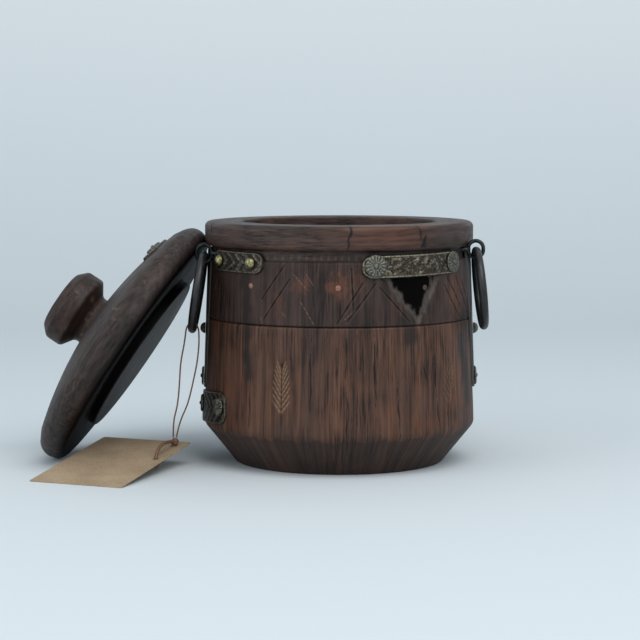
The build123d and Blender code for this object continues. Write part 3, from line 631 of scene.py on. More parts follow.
def joined(grids, closed=()):
    """Grids as one list of points and one of faces; the closed ones also join end to end."""
    faces, start = [], 0
    for number, grid in enumerate(grids):
        faces.append(grid_faces(*grid.shape[:2], close_rows=number in closed) + start)
        start += grid.shape[0] * grid.shape[1]
    return np.concatenate([grid.reshape(-1, 3) for grid in grids]), np.concatenate(faces)


def make_pegs(material):
    """Low domes on short round plugs, one above each lower point of the zigzag; one is scorched."""
    ring = np.array([0.0, 0.55, 0.85, 1.0, 1.0, 1.0])[:, None] * PEG_RADIUS
    lift = np.array([0.42, 0.36, 0.2, 0.0, -0.8, -2.5])[:, None]
    local = polar(ring, round_angles(24), lift)
    scorched = [i == SCORCHED_PEG for i in range(PEG_COUNT)]
    bases = [
        wall_frame(PEG_FIRST + 360 / PEG_COUNT * i, PEG_HEIGHT - SCORCH_DROP * hot, -SCORCH_SINK * hot)
        for i, hot in enumerate(scorched)
    ]
    points, faces = joined([place(local, base) for base in bases])
    burnt = np.repeat(0.85 * np.array(scorched), len(points) // PEG_COUNT)
    piece = add_surface("band_peg_heads", points, material, {"burnt": burnt}, faces)
    dress(piece, "pot", "peg_wood", "band_pegs")


# Bands, patches and straps
def plate_grid(half_length, half_height, corner, columns, rows):
    """Grid over a rounded plate: x runs its length and y fills its height there."""
    u = np.sin(np.linspace(-np.pi / 2, np.pi / 2, columns)) * 0.6 + np.linspace(-1, 1, columns) * 0.4
    x = half_length * u
    past = np.clip(abs(x) - (half_length - corner), 0, corner)
    half = half_height - corner + np.sqrt(np.maximum(corner**2 - past**2, 0))
    v = np.linspace(-1, 1, rows)
    return np.broadcast_to(x[:, None], (columns, rows)), half[:, None] * v[None, :], half


def plate_shell(x, y, height):
    """Closed shell: the top grid, the same grid at zero below it, and both ends drawn together."""
    top = np.stack([x, y, height], -1)
    low = np.stack([x, y, np.zeros_like(height)], -1)[:, ::-1]
    return capped(np.concatenate([top, low], 1))


def plate_values(values):
    """Spread a top grid's values over its closed shell, with zeros below it."""
    both = np.concatenate([values, np.zeros_like(values)], 1)
    return np.concatenate([both[:1], both, both[-1:]])


def plate_edge(x, y, half, half_length):
    """Millimetres inside the plate's outline, the soft fall at it and the raised line along it."""
    inward = np.minimum(half[:, None] - abs(y), half_length - abs(x))
    return inward, smooth_step(inward / 0.8 + 0.25), ridge(abs(inward - 0.9), 0.55)


def embossed_shell(x, y, fall, bead, raised, sizes):
    """A thin plate with its edge line and its pattern raised by the emboss height."""
    lift = BAND_THICKNESS * fall + sizes.emboss / MM * (0.5 * bead + raised - 0.35)
    return plate_shell(x, y, np.maximum(lift, 0.12))


def wrap_on_side(local, azimuth, height, tilt):
    """Plate coordinates turned by the tilt and wrapped on the side: the azimuth is asin(x / r)."""
    turn = math.radians(tilt)
    x = local[..., 0] * math.cos(turn) - local[..., 1] * math.sin(turn)
    y = local[..., 0] * math.sin(turn) + local[..., 1] * math.cos(turn)
    z = height + y * math.cos(WALL_LEAN)
    radius = wall_radius(z) + SEAT + local[..., 2]
    return wall_points(azimuth + np.degrees(np.arcsin(x / radius)), z, radius)


def make_band(name, band, style, sizes, material, slot, node):
    """An embossed metal band: a raised edge line, and a hammered or a leafy field inside it."""
    azimuth, height, half_length, half_height, corner, tilt = band
    columns, rows = int(half_length * 5.2), int(half_height * 5.6)
    x, y, half = plate_grid(half_length, half_height, corner, columns, rows)
    inward, fall, bead = plate_edge(x, y, half, half_length)
    field = smooth_step((inward - 1.3) / 0.6)
    if style == "hammered":
        pattern = 1.6 * (soft_noise(x.shape, 4.2, 11) + 0.7 * soft_noise(x.shape, 2.1, 12) - 0.85)
    else:
        drift = 3.0 * soft_noise(x.shape, 14, 7)
        blades = np.sin(0.8 * x + abs(y) + drift) + 0.5 * np.sin(1.9 * x + 2.2 * abs(y) + drift)
        pattern = 0.75 * np.tanh(1.6 * blades) + 0.9 * (soft_noise(x.shape, 3.0, 5) - 0.5)
    local = embossed_shell(x, y, fall, bead, 0.62 * pattern * field, sizes)
    worn = np.clip(0.95 * bead + 0.75 * np.clip(pattern, 0, 1) * field, 0, 1)
    points = wrap_on_side(local, azimuth, height, tilt)
    piece = add_surface(name, points, material, {"worn": plate_values(worn)})
    dress(piece, "pot", slot, node)


def strap_centre(side, offset, lean, height):
    """Azimuth of a strap's centre line: its reach in front of the axis over the side's radius."""
    reach = offset + (height - STRAP_ROSETTE_HEIGHT) * math.tan(math.radians(lean))
    return side * (90 - math.degrees(math.asin(reach / wall_radius(height))))


def make_strap(name, strap, material, node):
    """A leather strap that leans along the side, with softened edges and a creased line inside them."""
    side, offset, lean = strap
    half_length = (STRAP_TOP - STRAP_FOOT) / 2
    x = np.linspace(-1, 1, 150)[:, None] * half_length
    past = np.clip(STRAP_CORNER - (x + half_length), 0, STRAP_CORNER)
    half = STRAP_WIDTH / 2 - STRAP_CORNER + np.sqrt(STRAP_CORNER**2 - past**2)
    x, y = np.broadcast_arrays(x, half * np.linspace(-1, 1, 34) / math.cos(math.radians(lean)))
    inward = np.minimum(half - abs(y), half_length - abs(x))
    crease = ridge(abs(inward - 2.1), 0.45)
    lift = STRAP_THICKNESS * smooth_step(inward + 0.35) - 0.22 * crease - 0.12 * soft_noise(x.shape, 9, 3)
    local = plate_shell(x, y, np.maximum(lift, 0.1))
    z = (STRAP_TOP + STRAP_FOOT) / 2 + local[..., 0]
    reach = offset + math.tan(math.radians(lean)) * (z - STRAP_ROSETTE_HEIGHT)
    y = local[..., 1] - reach
    radius = wall_radius(z) + SEAT + local[..., 2]
    points = np.stack([side * np.sqrt(radius**2 - y**2), y, z], -1)
    piece = add_surface(name, points, material, {"worn": plate_values(ridge(inward, 0.9))})
    dress(piece, "pot", "black_leather", node)


# Nail heads
def head_points(radius, base):
    """A flower head: a thin rim, petals as cosine ridges round a dish, and a domed boss."""
    share, t = np.linspace(0, 1, 22)[:, None], round_angles(96)
    boss = 1.05 * smooth_step(1.45 - share / 0.21)
    petal = np.abs(np.cos(ROSETTE_PETALS * t / 2)) ** 0.7
    zone = smooth_step((share - 0.22) / 0.12) * smooth_step((0.97 - share) / 0.12)
    dish = 0.75 + 0.62 * (1 - share**2) - 0.3 * ridge(abs(share - 0.27), 0.05)
    height = dish + boss * 0.85 + zone * 0.75 * (petal - 0.35) * share
    edge = 1 - 0.05 * (1 - petal) * smooth_step((share - 0.8) / 0.2)
    skirt = polar(radius * edge[-1:], t, 0.0)
    points = np.concatenate([polar(radius * share * edge, t, height), skirt, 0 * skirt])
    worn = np.clip(1.1 * zone * petal + boss + smooth_step((share - 0.93) / 0.05), 0, 1)
    return place(points, base), np.concatenate([worn, np.zeros((2, t.size))])


def dome_points(base):
    """A round head: a low spherical cap, with a few soft facets from the hammer."""
    t, a = round_angles(40), np.linspace(0, np.pi / 2, 14)[:, None]
    dent = 1 - 0.035 * np.sin(3 * t + 1.0) * np.sin(2 * a)
    top = polar(DOME_RADIUS * np.sin(a) * dent, t, DOME_HEIGHT * np.cos(a) * dent + 0.05)
    points = np.concatenate([top, np.zeros((1, t.size, 3))])
    return place(points, base), np.concatenate([np.cos(a) + 0 * t, np.zeros((1, t.size))])


def make_nails(name, bases, radius, material, body, node):
    """A group of like nail heads as one piece; a radius of zero gives domes."""
    heads = [head_points(radius, base) if radius else dome_points(base) for base in bases]
    points, faces = joined([head for head, shade in heads])
    worn = np.concatenate([shade.ravel() for head, shade in heads])
    piece = add_surface(name, points, material, {"worn": worn}, faces)
    dress(piece, body, "aged_brass", node)


# Eyes and rings
def make_eye(name, side, material, node):
    """A stadium loop of wire in the XZ plane, and a straight shank into the wood."""
    x0, z0 = EYES[side]
    t = round_angles(72)[0]
    loop = np.stack([x0 + EYE_RADIUS * np.cos(t), np.full_like(t, EYE_Y),
                     z0 + EYE_RADIUS * np.sin(t) + np.sign(np.sin(t)) * EYE_STRAIGHT / 2], -1)
    inwards = -math.copysign(1, x0) * (EYE_RADIUS + np.linspace(0, EYE_SHANK_LENGTH, 12))
    shank = np.stack(np.broadcast_arrays(x0 + inwards, EYE_Y, z0), -1)
    grids = [tube(loop, EYE_WIRE, 20, closed=True), capped(tube(shank, EYE_SHANK, 20))]
    points, faces = joined(grids, closed=[0])
    piece = add_surface(name, points, material, faces=faces)
    dress(piece, "pot", "blackened_steel", node)


def make_ring(name, side, body, material, node):
    """A torus: a circle of the ring's radius in its leaning plane, with a round tube."""
    joint = next(j for j in frame["joints"] if j["child"] == body)
    hinge = np.array(joint["pos_m"]) / MM
    lean = math.radians(RING_LEANS[side])
    hang = np.array([math.copysign(math.sin(lean), hinge[0]), 0, -math.cos(lean)])
    across = np.array([0.0, 1.0, 0.0])
    t, p = round_angles(192).T, round_angles(32)[..., None]
    outward = -np.cos(t) * hang + np.sin(t) * across
    circle = hinge + RING_RADIUS * (hang + outward)
    ring = np.cos(p) * outward[:, None] + np.sin(p) * np.cross(hang, across)
    faces = grid_faces(t.size, p.size, close_rows=True)
    piece = add_surface(name, circle[:, None] + RING_TUBE * ring, material, faces=faces)
    dress(piece, body, "satin_black", node)


# Lid and knob
def lid_axes():
    """The lid's axis, the uphill direction in its plane, and the level one towards the viewer."""
    t, h = math.radians(LID_TILT), math.radians(LID_HEADING)
    axis = np.array([-math.sin(t) * math.cos(h), math.sin(t) * math.sin(h), math.cos(t)])
    uphill = np.array([math.cos(t) * math.cos(h), -math.cos(t) * math.sin(h), math.sin(t)])
    across = np.array([-math.sin(h), -math.cos(h), 0.0])
    return axis, uphill, across


def on_lid(local):
    """Points turned about +Z carried to the lid's frame."""
    axis, uphill, across = lid_axes()
    return place(local, (np.array(LID_CENTRE), across, uphill, axis))


def dome_height(r):
    """Height of the lid's top at a radius, on the dome's sphere."""
    return LID_DOME_TOP_W - LID_SPHERE + np.sqrt(LID_SPHERE**2 - r**2)


def make_lid(material):
    """Profile of plug, underside, rounded edge and domed top turned about the lid's axis."""
    plug = rounded([(30, -PLUG_DEPTH), (PLUG_RADIUS, -PLUG_DEPTH), (PLUG_RADIUS, 0)], {1: 1.0})[1:]
    centre = (LID_RADIUS - LID_EDGE_ROUND, LID_EDGE_W)
    edge = arc(centre, LID_EDGE_ROUND, LID_EDGE_START, LID_EDGE_START + LID_EDGE_SWEEP, 15)
    low = dense([(0, -PLUG_DEPTH)] + plug + [(LID_UNDER_RADIUS, 0)] + edge, 2.0)
    r = np.linspace(LID_DOME_RADIUS, 0, 56)
    profile = np.concatenate([low, np.stack([r, dome_height(r)], 1)])
    radius, w = profile[:, 0:1], profile[:, 1:2]
    t = round_angles(420, np.pi)
    shape = (len(profile), t.size)
    top = smooth_step((w - 4) / 6)
    dents = np.clip(soft_noise(shape, 5, 21) - 0.72, 0, 1) * 3.0
    lathe = 0.1 * np.sin(radius * 2.1) * (w > 18)
    seat = (radius < KNOB_FOOT + 0.6) * np.maximum(w - KNOB_SEAT_W + 0.3, 0) * (w > 0)
    lift = w - (0.35 * dents + lathe) * top * (radius > 20) - seat
    local = polar(radius - 0.35 * dents * top * (radius > 80), t, lift)
    face = w < 0.6 - PLUG_DEPTH
    scuffs = np.clip(soft_noise(shape, 1.2, 8) - 0.8, 0, 1) * 4
    near = smooth_step(1.5 - abs(np.degrees(t) - LID_SCUFFED) / 60)
    near = near * smooth_step((radius - 66) / 8) * smooth_step((w - 10) / 4)
    pale = 0.4 * np.clip(scuffs * (0.1 * top + 0.8 * near), 0, 1) * (w > 5)
    # Painted shade: the lid's underside and plug are laid nearly black, and the plug's bottom face a little
    # less dark
    burnt = ridge(w - 1, 4) * (1 - 0.35 * face)
    values = layers(shape, dark=0.2 * dents * top, pale=pale, burnt=burnt, stained=0.6 * face)
    piece = add_surface("lid_top", on_lid(local), material, values, grain=local)
    dress(piece, "lid", "lid_wood", "lid_plate")


def make_knob(material):
    """A coved neck, two chamfers and a flat top turned about the lid's axis."""
    foot = [(0, KNOB_SEAT_W + SEAT), (KNOB_FOOT, KNOB_SEAT_W + SEAT)]
    cove = arc((KNOB_WAIST + KNOB_COVE, KNOB_WAIST_W), KNOB_COVE, 210, 150, 7)
    head = rounded([(KNOB_FOOT, KNOB_NECK_W), (KNOB_RADIUS, KNOB_LOW_W), (KNOB_RADIUS, KNOB_HIGH_W),
                    (KNOB_TOP_RADIUS, KNOB_TOP_W), (0, KNOB_TOP_W)], {1: 1.6, 2: 1.8, 3: 1.8})
    profile = dense(foot + cove + head, 1.2)
    r, w = profile[:, 0:1], profile[:, 1:2]
    t = round_angles(220, np.pi)
    worn = soft_noise((len(profile), t.size), 6, 31)
    local = polar(r * (1 - 0.006 * worn - 0.004 * np.sin(2 * t)), t, w)
    pale = 1.5 * np.clip(worn - 0.8, 0, 1)
    # Painted shade below the knob's head: everything under its lower chamfer is darker
    values = layers(worn.shape, dark=0.2 * (w < KNOB_LOW_W), pale=pale)
    piece = add_surface("knob_turned", on_lid(local), material, values, grain=local)
    dress(piece, "lid", "lid_wood", "lid_knob")


def lid_patch_frame(proud):
    """Frame on the lid's dome at the small patch, lifted out of it."""
    axis, uphill, across = lid_axes()
    distance, turn = LID_PATCH[0], math.radians(LID_PATCH[1])
    out = (uphill * math.cos(turn) + across * math.sin(turn)) * distance
    normal = out + axis * math.sqrt(LID_SPHERE**2 - distance**2)
    normal /= np.linalg.norm(normal)
    along = np.cross(out, axis)
    along /= np.linalg.norm(along)
    centre = np.array(LID_CENTRE) + axis * (LID_DOME_TOP_W - LID_SPHERE)
    return centre + normal * (LID_SPHERE + proud), along, np.cross(normal, along), normal


def make_lid_patch(sizes, material):
    """A small embossed plate that follows the dome: each point drops by its distance squared over 2 R."""
    half_length, half_height, corner = LID_PATCH[2] / 2, LID_PATCH[3] / 2, LID_PATCH[4]
    x, y, half = plate_grid(half_length, half_height, corner, 84, 40)
    inward, fall, bead = plate_edge(x, y, half, half_length)
    dents = 1.4 * (soft_noise(x.shape, 3.2, 15) - 0.5)
    local = embossed_shell(x, y, fall, bead, 0.6 * dents * (inward > 1.3), sizes)
    local[..., 2] -= (local[..., 0] ** 2 + local[..., 1] ** 2) / (2 * LID_SPHERE)
    worn = np.clip(bead + np.clip(dents, 0, 1), 0, 1)
    points = place(local, lid_patch_frame(SEAT))
    piece = add_surface("lid_patch_plate", points, material, {"worn": plate_values(worn)})
    dress(piece, "lid", "dark_metal", "lid_patch")


# Twine and knots
def read_line(route, name):
    """Points of the smooth curve that has the route as its control points."""
    data = bpy.data.curves.new(name, "CURVE")
    data.dimensions = "3D"
    data.resolution_u = 10
    spline = data.splines.new("NURBS")
    spline.points.add(len(route) - 1)
    spline.points.foreach_set("co", np.array([(*point, 1.0) for point in route], float).ravel())
    spline.order_u = 3
    spline.use_endpoint_u = True
    line = bpy.data.objects.new(name, data)
    mesh = bpy.data.meshes.new_from_object(line)
    points = np.empty(len(mesh.vertices) * 3)
    mesh.vertices.foreach_get("co", points)
    bpy.data.objects.remove(line)
    bpy.data.curves.remove(data)
    bpy.data.meshes.remove(mesh)
    return points.reshape(-1, 3)


def make_twine(name, route, diameter, node, material, twist):
    """Two strands laid together: a two-lobed section that turns as it follows the route's curve."""
    line = read_line(route, name + "_line")
    along = lengths_along(line)
    even = np.linspace(0, along[-1], int(along[-1] / TWINE_STEP))
    fine = np.stack([np.interp(even, along, line[:, k]) for k in range(3)], 1)
    points = capped(tube(fine / MM, diameter / 2 / MM, 12, lobes=2, twist=twist))
    v = np.concatenate([[0], even, [along[-1]]])[:, None] / diameter
    uv = np.stack(np.broadcast_arrays(np.linspace(0, 1, 12)[None, :], v), -1)
    piece = add_surface(name, points, material, uv=uv)
    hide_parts(node)
    return piece, fine


def make_knot(name, centre, radius, material, node):
    """A ball of three crossed cord turns: a sphere with a ridge over each of three great circles."""
    p, t = np.linspace(0, np.pi, 40)[:, None], round_angles(56)
    unit = polar(np.sin(p), t, np.cos(p))
    cords = np.zeros(unit.shape[:2])
    for axis in ((0.9, 0.3, 0.3), (-0.3, 0.9, 0.35), (0.2, -0.4, 0.9)):
        axis = np.array(axis) / np.linalg.norm(axis)
        cords = np.maximum(cords, np.sqrt(np.clip(1 - (unit @ axis / 0.42) ** 2, 0, 1)))
    points = np.array(centre) + unit * (radius * (0.72 + 0.28 * cords))[..., None]
    piece = add_surface(name, points, material)
    dress(piece, "pot", "brown_twine", node)
    return piece


# Materials
def linear(hex_colour):
    """An sRGB hex colour as linear red, green, blue and one."""
    values = [int(hex_colour[i : i + 2], 16) / 255 for i in (1, 3, 5)]
    return [v / 12.92 if v <= 0.04045 else ((v + 0.055) / 1.055) ** 2.4 for v in values] + [1.0]


def fill(tree, node, inputs):
    """Link each input that is given a socket, and set the others."""
    for socket, value in inputs.items():
        if isinstance(value, bpy.types.NodeSocket):
            tree.links.new(value, node.inputs[socket])
        else:
            node.inputs[socket].default_value = value


def add_node(tree, kind, inputs=None, stops=None, **settings):
    """Add a node with its settings, inputs and colour stops, and give its outputs."""
    node = tree.nodes.new(kind)
    for key, value in settings.items():
        setattr(node, key, value)
    fill(tree, node, inputs or {})
    if stops:
        elements = node.color_ramp.elements
        while len(elements) < len(stops):
            elements.new(1.0)
        for element, (position, colour) in zip(elements, stops):
            element.position = position
            element.color = linear(colour)
    return node.outputs


def new_material(name):
    """An empty node material with its output and main shader linked."""
    material = bpy.data.materials.new(name)
    material.use_nodes = True
    tree = material.node_tree
    tree.nodes.clear()
    shader = tree.nodes.new("ShaderNodeBsdfPrincipled")
    add_node(tree, "ShaderNodeOutputMaterial", {"Surface": shader.outputs[0]})
    return material, tree, shader


def object_place(tree):
    """Object coordinates."""
    return add_node(tree, "ShaderNodeTexCoord")["Object"]


def stored(tree, key, output="Fac"):
    """A value stored on the mesh's points."""
    return add_node(tree, "ShaderNodeAttribute", attribute_name=key)[output]


def noise(tree, place_in, scale, detail, roughness=0.5, output=0):
    """Fractal noise, with its scale in cells per metre."""
    inputs = {"Vector": place_in, "Scale": scale, "Detail": detail, "Roughness": roughness}
    return add_node(tree, "ShaderNodeTexNoise", inputs)[output]


def ramp(tree, value, stops):
    """A value turned to a colour by stops of position and colour."""
    return add_node(tree, "ShaderNodeValToRGB", {0: value}, stops)[0]


def remap(tree, value, low, high, start, end):
    """A value carried from one span to another."""
    return add_node(tree, "ShaderNodeMapRange", {0: value, 1: low, 2: high, 3: start, 4: end})[0]


def multiply(tree, first, second):
    """The product of two values."""
    return add_node(tree, "ShaderNodeMath", {0: first, 1: second}, operation="MULTIPLY")[0]


def mix_values(tree, share, first, second):
    """Two values mixed by a share."""
    return add_node(tree, "ShaderNodeMix", {0: share, 2: first, 3: second})[0]


def mix_colours(tree, share, first, second, blend="MIX"):
    """Two colours mixed by a share."""
    inputs = {0: share, 6: first, 7: second}
    return add_node(tree, "ShaderNodeMix", inputs, data_type="RGBA", blend_type=blend)[2]


def bump(tree, height, distance, strength=1.0):
    """A normal tilted by a height whose full step is a distance in metres."""
    inputs = {"Strength": strength, "Distance": distance, "Height": height}
    return add_node(tree, "ShaderNodeBump", inputs)[0]


def stained_softwood(name, blotches, stretch, depth, gloss):
    """Weathered softwood under dark wax: growth streaks 1 to 3 mm wide run along the grain,
    earlywood worn a little lower than latewood, with patches where the stain has rubbed thin."""
    material, tree, shader = new_material(name)
    place_in = stored(tree, "grain", "Vector")
    grain = add_node(tree, "ShaderNodeMapping", {"Vector": place_in, "Scale": stretch})[0]
    warp = noise(tree, grain, 60.0, 2.0, output="Color")
    bent = add_node(tree, "ShaderNodeMix", {0: 0.004, 4: grain, 5: warp}, data_type="VECTOR")[1]
    fine = noise(tree, bent, 900.0, 5.0, 0.65)
    streak = noise(tree, bent, 300.0, 4.0, 0.6)
    broad = noise(tree, grain, 75.0, 3.0, 0.55)
    patch = noise(tree, place_in, 26.0, 3.0)
    toned = ramp(tree, mix_values(tree, 0.55, patch, broad), blotches)
    lines = ramp(tree, streak, [(0.34, "#857c79"), (0.5, "#ddd7d4"), (0.66, "#ffffff")])
    toned = mix_colours(tree, 0.8, toned, lines, "MULTIPLY")
    hairs = ramp(tree, fine, [(0.38, "#4a4342"), (0.5, "#d8d2cf"), (0.62, "#ffffff")])
    lined = remap(tree, noise(tree, place_in, 38.0, 2.0), 0.42, 0.58, 0.3, 0.95)
    toned = mix_colours(tree, lined, toned, hairs, "MULTIPLY")
    for key, colour in WOOD_LAYERS.items():
        share = stored(tree, key)
        if key == "warm":
            share = multiply(tree, share, streak)
        toned = mix_colours(tree, share, toned, linear(colour))
    fill(tree, shader, {
        "Base Color": toned,
        "Roughness": remap(tree, streak, 0.3, 0.7, gloss + 0.16, gloss),
        "Normal": bump(tree, mix_values(tree, 0.45, streak, fine), depth),
        "Specular IOR Level": remap(tree, stored(tree, "burnt"), 0.0, 1.0, 0.3, 0.03),
    })
    return material


def peg_wood(name):
    """Pale hardwood pegs, end grain out, darkened where the band is burnt."""
    material, tree, shader = new_material(name)
    dots = noise(tree, object_place(tree), 1400.0, 3.0)
    tone = ramp(tree, dots, [(0.3, "#5d3b2f"), (0.55, "#8a6151"), (0.8, "#a37c69")])
    tone = mix_colours(tree, stored(tree, "burnt"), tone, linear("#1b1413"))
    fill(tree, shader, {"Base Color": tone, "Roughness": 0.6})
    return material


def worn_metal(name, field, high, roughness, metallic, grit, depth):
    """Old cast or stamped metal: dark in its hollows and rubbed bright on its high lines."""
    material, tree, shader = new_material(name)
    spots = noise(tree, object_place(tree), grit, 4.0, 0.65)
    share = multiply(tree, stored(tree, "worn"), remap(tree, spots, 0.4, 0.6, 0.25, 1.0))
    fill(tree, shader, {
        "Base Color": mix_colours(tree, share, ramp(tree, spots, field), linear(high)),
        "Roughness": remap(tree, spots, 0.3, 0.7, roughness, roughness + 0.2),
        "Metallic": metallic,
        "Normal": bump(tree, spots, depth, 0.8),
    })
    return material


def black_leather(name):
    """Black dyed cowhide: small pebbled cells about 0.8 mm across, brown where its edge is rubbed."""
    material, tree, shader = new_material(name)
    place_in = object_place(tree)
    cells = add_node(tree, "ShaderNodeTexVoronoi", {"Vector": place_in, "Scale": 1250.0},
                     feature="DISTANCE_TO_EDGE")[0]
    shade = noise(tree, place_in, 160.0, 4.0)
    tone = ramp(tree, shade, [(0.3, "#0c0c0d"), (0.6, "#1a1917"), (0.85, "#2c2924")])
    tone = mix_colours(tree, multiply(tree, stored(tree, "worn"), 0.55), tone, linear("#5a564c"))
    fill(tree, shader, {"Base Color": tone, "Roughness": 0.48, "Normal": bump(tree, cells, 0.00015, 0.5)})
    return material


def black_iron(name, low, high, roughness, metallic):
    """Iron wire blackened in oil: near black, with faint patches where the oil film is thicker."""
    material, tree, shader = new_material(name)
    film = noise(tree, object_place(tree), 220.0, 4.0)
    fill(tree, shader, {
        "Base Color": ramp(tree, film, [(0.35, low), (0.7, high)]),
        "Roughness": remap(tree, film, 0.3, 0.7, roughness, roughness + 0.15),
        "Metallic": metallic,
        "Normal": bump(tree, film, 0.0002, 0.35),
    })
    return material


def kraft_card(name):
    """Unbleached kraft card: warm brown with short darker fibres a few tenths of a millimetre wide."""
    material, tree, shader = new_material(name)
    place_in = object_place(tree)
    inputs = {"Vector": place_in, "Rotation": (0.0, 0.0, 0.39), "Scale": (1.0, 0.25, 1.0)}
    fibre = noise(tree, add_node(tree, "ShaderNodeMapping", inputs)[0], 1500.0, 4.0)
    mixed = mix_values(tree, 0.45, fibre, noise(tree, place_in, 60.0, 3.0))
    tone = ramp(tree, mixed, [(0.3, "#84705a"), (0.5, "#9a866c"), (0.7, "#ab977c")])
    fill(tree, shader, {"Base Color": tone, "Roughness": 0.85, "Normal": bump(tree, fibre, 0.0001, 0.3)})
    return material


def waxed_twine(name):
    """Waxed two-ply linen twine: brown yarn with paler loose fibres."""
    material, tree, shader = new_material(name)
    fibre = noise(tree, object_place(tree), 1800.0, 3.0)
    tone = ramp(tree, fibre, [(0.3, "#3c2419"), (0.52, "#6f4d39"), (0.75, "#a08468")])
    fill(tree, shader, {"Base Color": tone, "Roughness": 0.8, "Normal": bump(tree, fibre, 0.00015, 0.6)})
    return material


def make_materials():
    """Every finish, by its short name."""
    body = [(0.28, "#352620"), (0.42, "#4e382f"), (0.54, "#604436"), (0.66, "#704c37"), (0.8, "#533c33")]
    band = [(0.28, "#261c1a"), (0.42, "#382a26"), (0.55, "#44332d"), (0.68, "#54392e"), (0.8, "#3c2d28")]
    rim = [(0.3, "#352a27"), (0.45, "#463834"), (0.58, "#523d34"), (0.7, "#624235"), (0.82, "#483935")]
    lid = [(0.3, "#2d2422"), (0.45, "#3a2f2c"), (0.6, "#433531"), (0.75, "#382d2b")]
    knob = [(0.3, "#30241f"), (0.5, "#402f2a"), (0.7, "#4b3731")]
    pewter = [(0.35, "#1b1612"), (0.55, "#3f372d"), (0.75, "#5a5042")]
    dark = [(0.35, "#120e0c"), (0.6, "#2b231d"), (0.8, "#43372c")]
    flower = [(0.35, "#161510"), (0.6, "#2c2b22"), (0.8, "#46453a")]
    brass = [(0.35, "#33301a"), (0.55, "#5f5b36"), (0.75, "#7d794b")]
    return {
        "body": stained_softwood("Waxed softwood, grain upright", body, (1.0, 1.0, 0.045), 0.0005, 0.52),
        "band": stained_softwood("Waxed softwood, carved band", band, (1.0, 1.0, 0.05), 0.0005, 0.52),
        "rim": stained_softwood("Waxed softwood, turned rim", rim, (0.1, 0.1, 1.0), 0.0005, 0.42),
        "lid": stained_softwood("Waxed softwood, lid", lid, (1.0, 0.08, 1.0), 0.0003, 0.46),
        "knob": stained_softwood("Waxed softwood, knob", knob, (1.0, 0.1, 1.0), 0.0002, 0.44),
        "peg": peg_wood("Pale hardwood peg"),
        "pewter": worn_metal("Hammered pewter", pewter, "#b5ad97", 0.32, 0.7, 800.0, 0.0004),
        "dark": worn_metal("Stamped black metal", dark, "#857c69", 0.4, 0.5, 600.0, 0.0003),
        "flower": worn_metal("Cast flower nail", flower, "#86857a", 0.36, 0.7, 900.0, 0.0002),
        "brass": worn_metal("Old brass dome", brass, "#b5b085", 0.3, 0.85, 500.0, 0.0001),
        "leather": black_leather("Black pebbled cowhide"),
        "ring": black_iron("Oil-blackened iron ring", "#0b0b0d", "#1b1c1f", 0.34, 0.0),
        "eye": black_iron("Blackened steel wire", "#14181a", "#3c4546", 0.3, 0.85),
        "card": kraft_card("Unbleached kraft card"),
        "twine": waxed_twine("Waxed linen twine"),
    }


# Finishes by short name, filled when the pot is made
MATERIALS = {}


def set_finish(solid, material):
    """The solid takes a finish in place of its own."""
    solid.data.materials.clear()
    solid.data.materials.append(material)


# Stage
def make_stage(sizes):
    """A pale sweep: flat floor, a quarter round behind, and an upright backdrop."""
    curve = [(y, 0.0) for y in np.linspace(SWEEP_FRONT, SWEEP_BACK, 12)]
    curve += arc((SWEEP_BACK, SWEEP_BEND), SWEEP_BEND, -90, 0, 24)[1:]
    curve += [(SWEEP_BACK + SWEEP_BEND, z) for z in np.linspace(SWEEP_BEND, SWEEP_TOP, 8)[1:]]
    curve = np.array(curve)
    x = np.linspace(-SWEEP_SIDE, SWEEP_SIDE, 12)[None, :]
    points = np.stack(np.broadcast_arrays(x, curve[:, 0:1], curve[:, 1:2]), -1)
    material, tree, shader = new_material("Pale matt sweep")
    height = add_node(tree, "ShaderNodeSeparateXYZ", {0: object_place(tree)})[2]
    low, high = (list(colour) + [1.0] for colour in (sizes.floor_colour, sizes.backdrop_colour))
    tone = mix_colours(tree, remap(tree, height, 0.0, BLEND_HEIGHT, 0.0, 1.0), low, high)
    fill(tree, shader, {"Base Color": tone, "Roughness": 0.9, "Specular IOR Level": 0.1})
    faces = grid_faces(len(curve), x.size, close_columns=False)[:, ::-1]
    mesh = bpy.data.meshes.new("sweep")
    mesh.from_pydata((points.reshape(-1, 3) * MM).tolist(), [], faces.tolist())
    mesh.shade_smooth()
    mesh.materials.append(material)
    sweep = show("sweep", mesh)


def add_lamp(name, place_mm, target_mm, width, power, colour):
    """A square soft box that faces a point of the object."""
    data = bpy.data.lights.new(name, "AREA")
    data.size = width
    data.energy = power
    data.color = colour
    lamp = show(name, data)
    lamp.location = Vector(place_mm) * MM
    aim = (Vector(target_mm) - Vector(place_mm)).to_track_quat("-Z", "Y")
    lamp.rotation_euler = aim.to_euler()


# Settings shown in the sidebar
class CanisterSettings(bpy.types.PropertyGroup):
    """Sizes and colours that a user would change."""

    cut_depth: FloatProperty(name="Cut depth", description="Depth of the carved zigzag lines",
                             default=0.9 * MM, min=0.0, unit="LENGTH")
    burn_depth: FloatProperty(name="Burn depth", description="Depth of the burnt triangle",
                              default=1.3 * MM, min=0.0, unit="LENGTH")
    emboss: FloatProperty(name="Emboss height", description="Relief on the metal bands",
                          default=0.38 * MM, min=0.0, unit="LENGTH")
    floor_colour: FloatVectorProperty(name="Floor colour", description="Colour of the floor",
                                      default=linear("#c9d0d4")[:3], size=3, subtype="COLOR")
    backdrop_colour: FloatVectorProperty(name="Backdrop colour", description="Colour of the backdrop",
                                         default=linear("#e6ebed")[:3], size=3, subtype="COLOR")
    key_power: FloatProperty(name="Key light", description="Power of the large soft light",
                             default=19.0, min=0.0, unit="POWER")
    fill_power: FloatProperty(name="Fill light", description="Power of the weaker soft light",
                              default=6.5, min=0.0, unit="POWER")


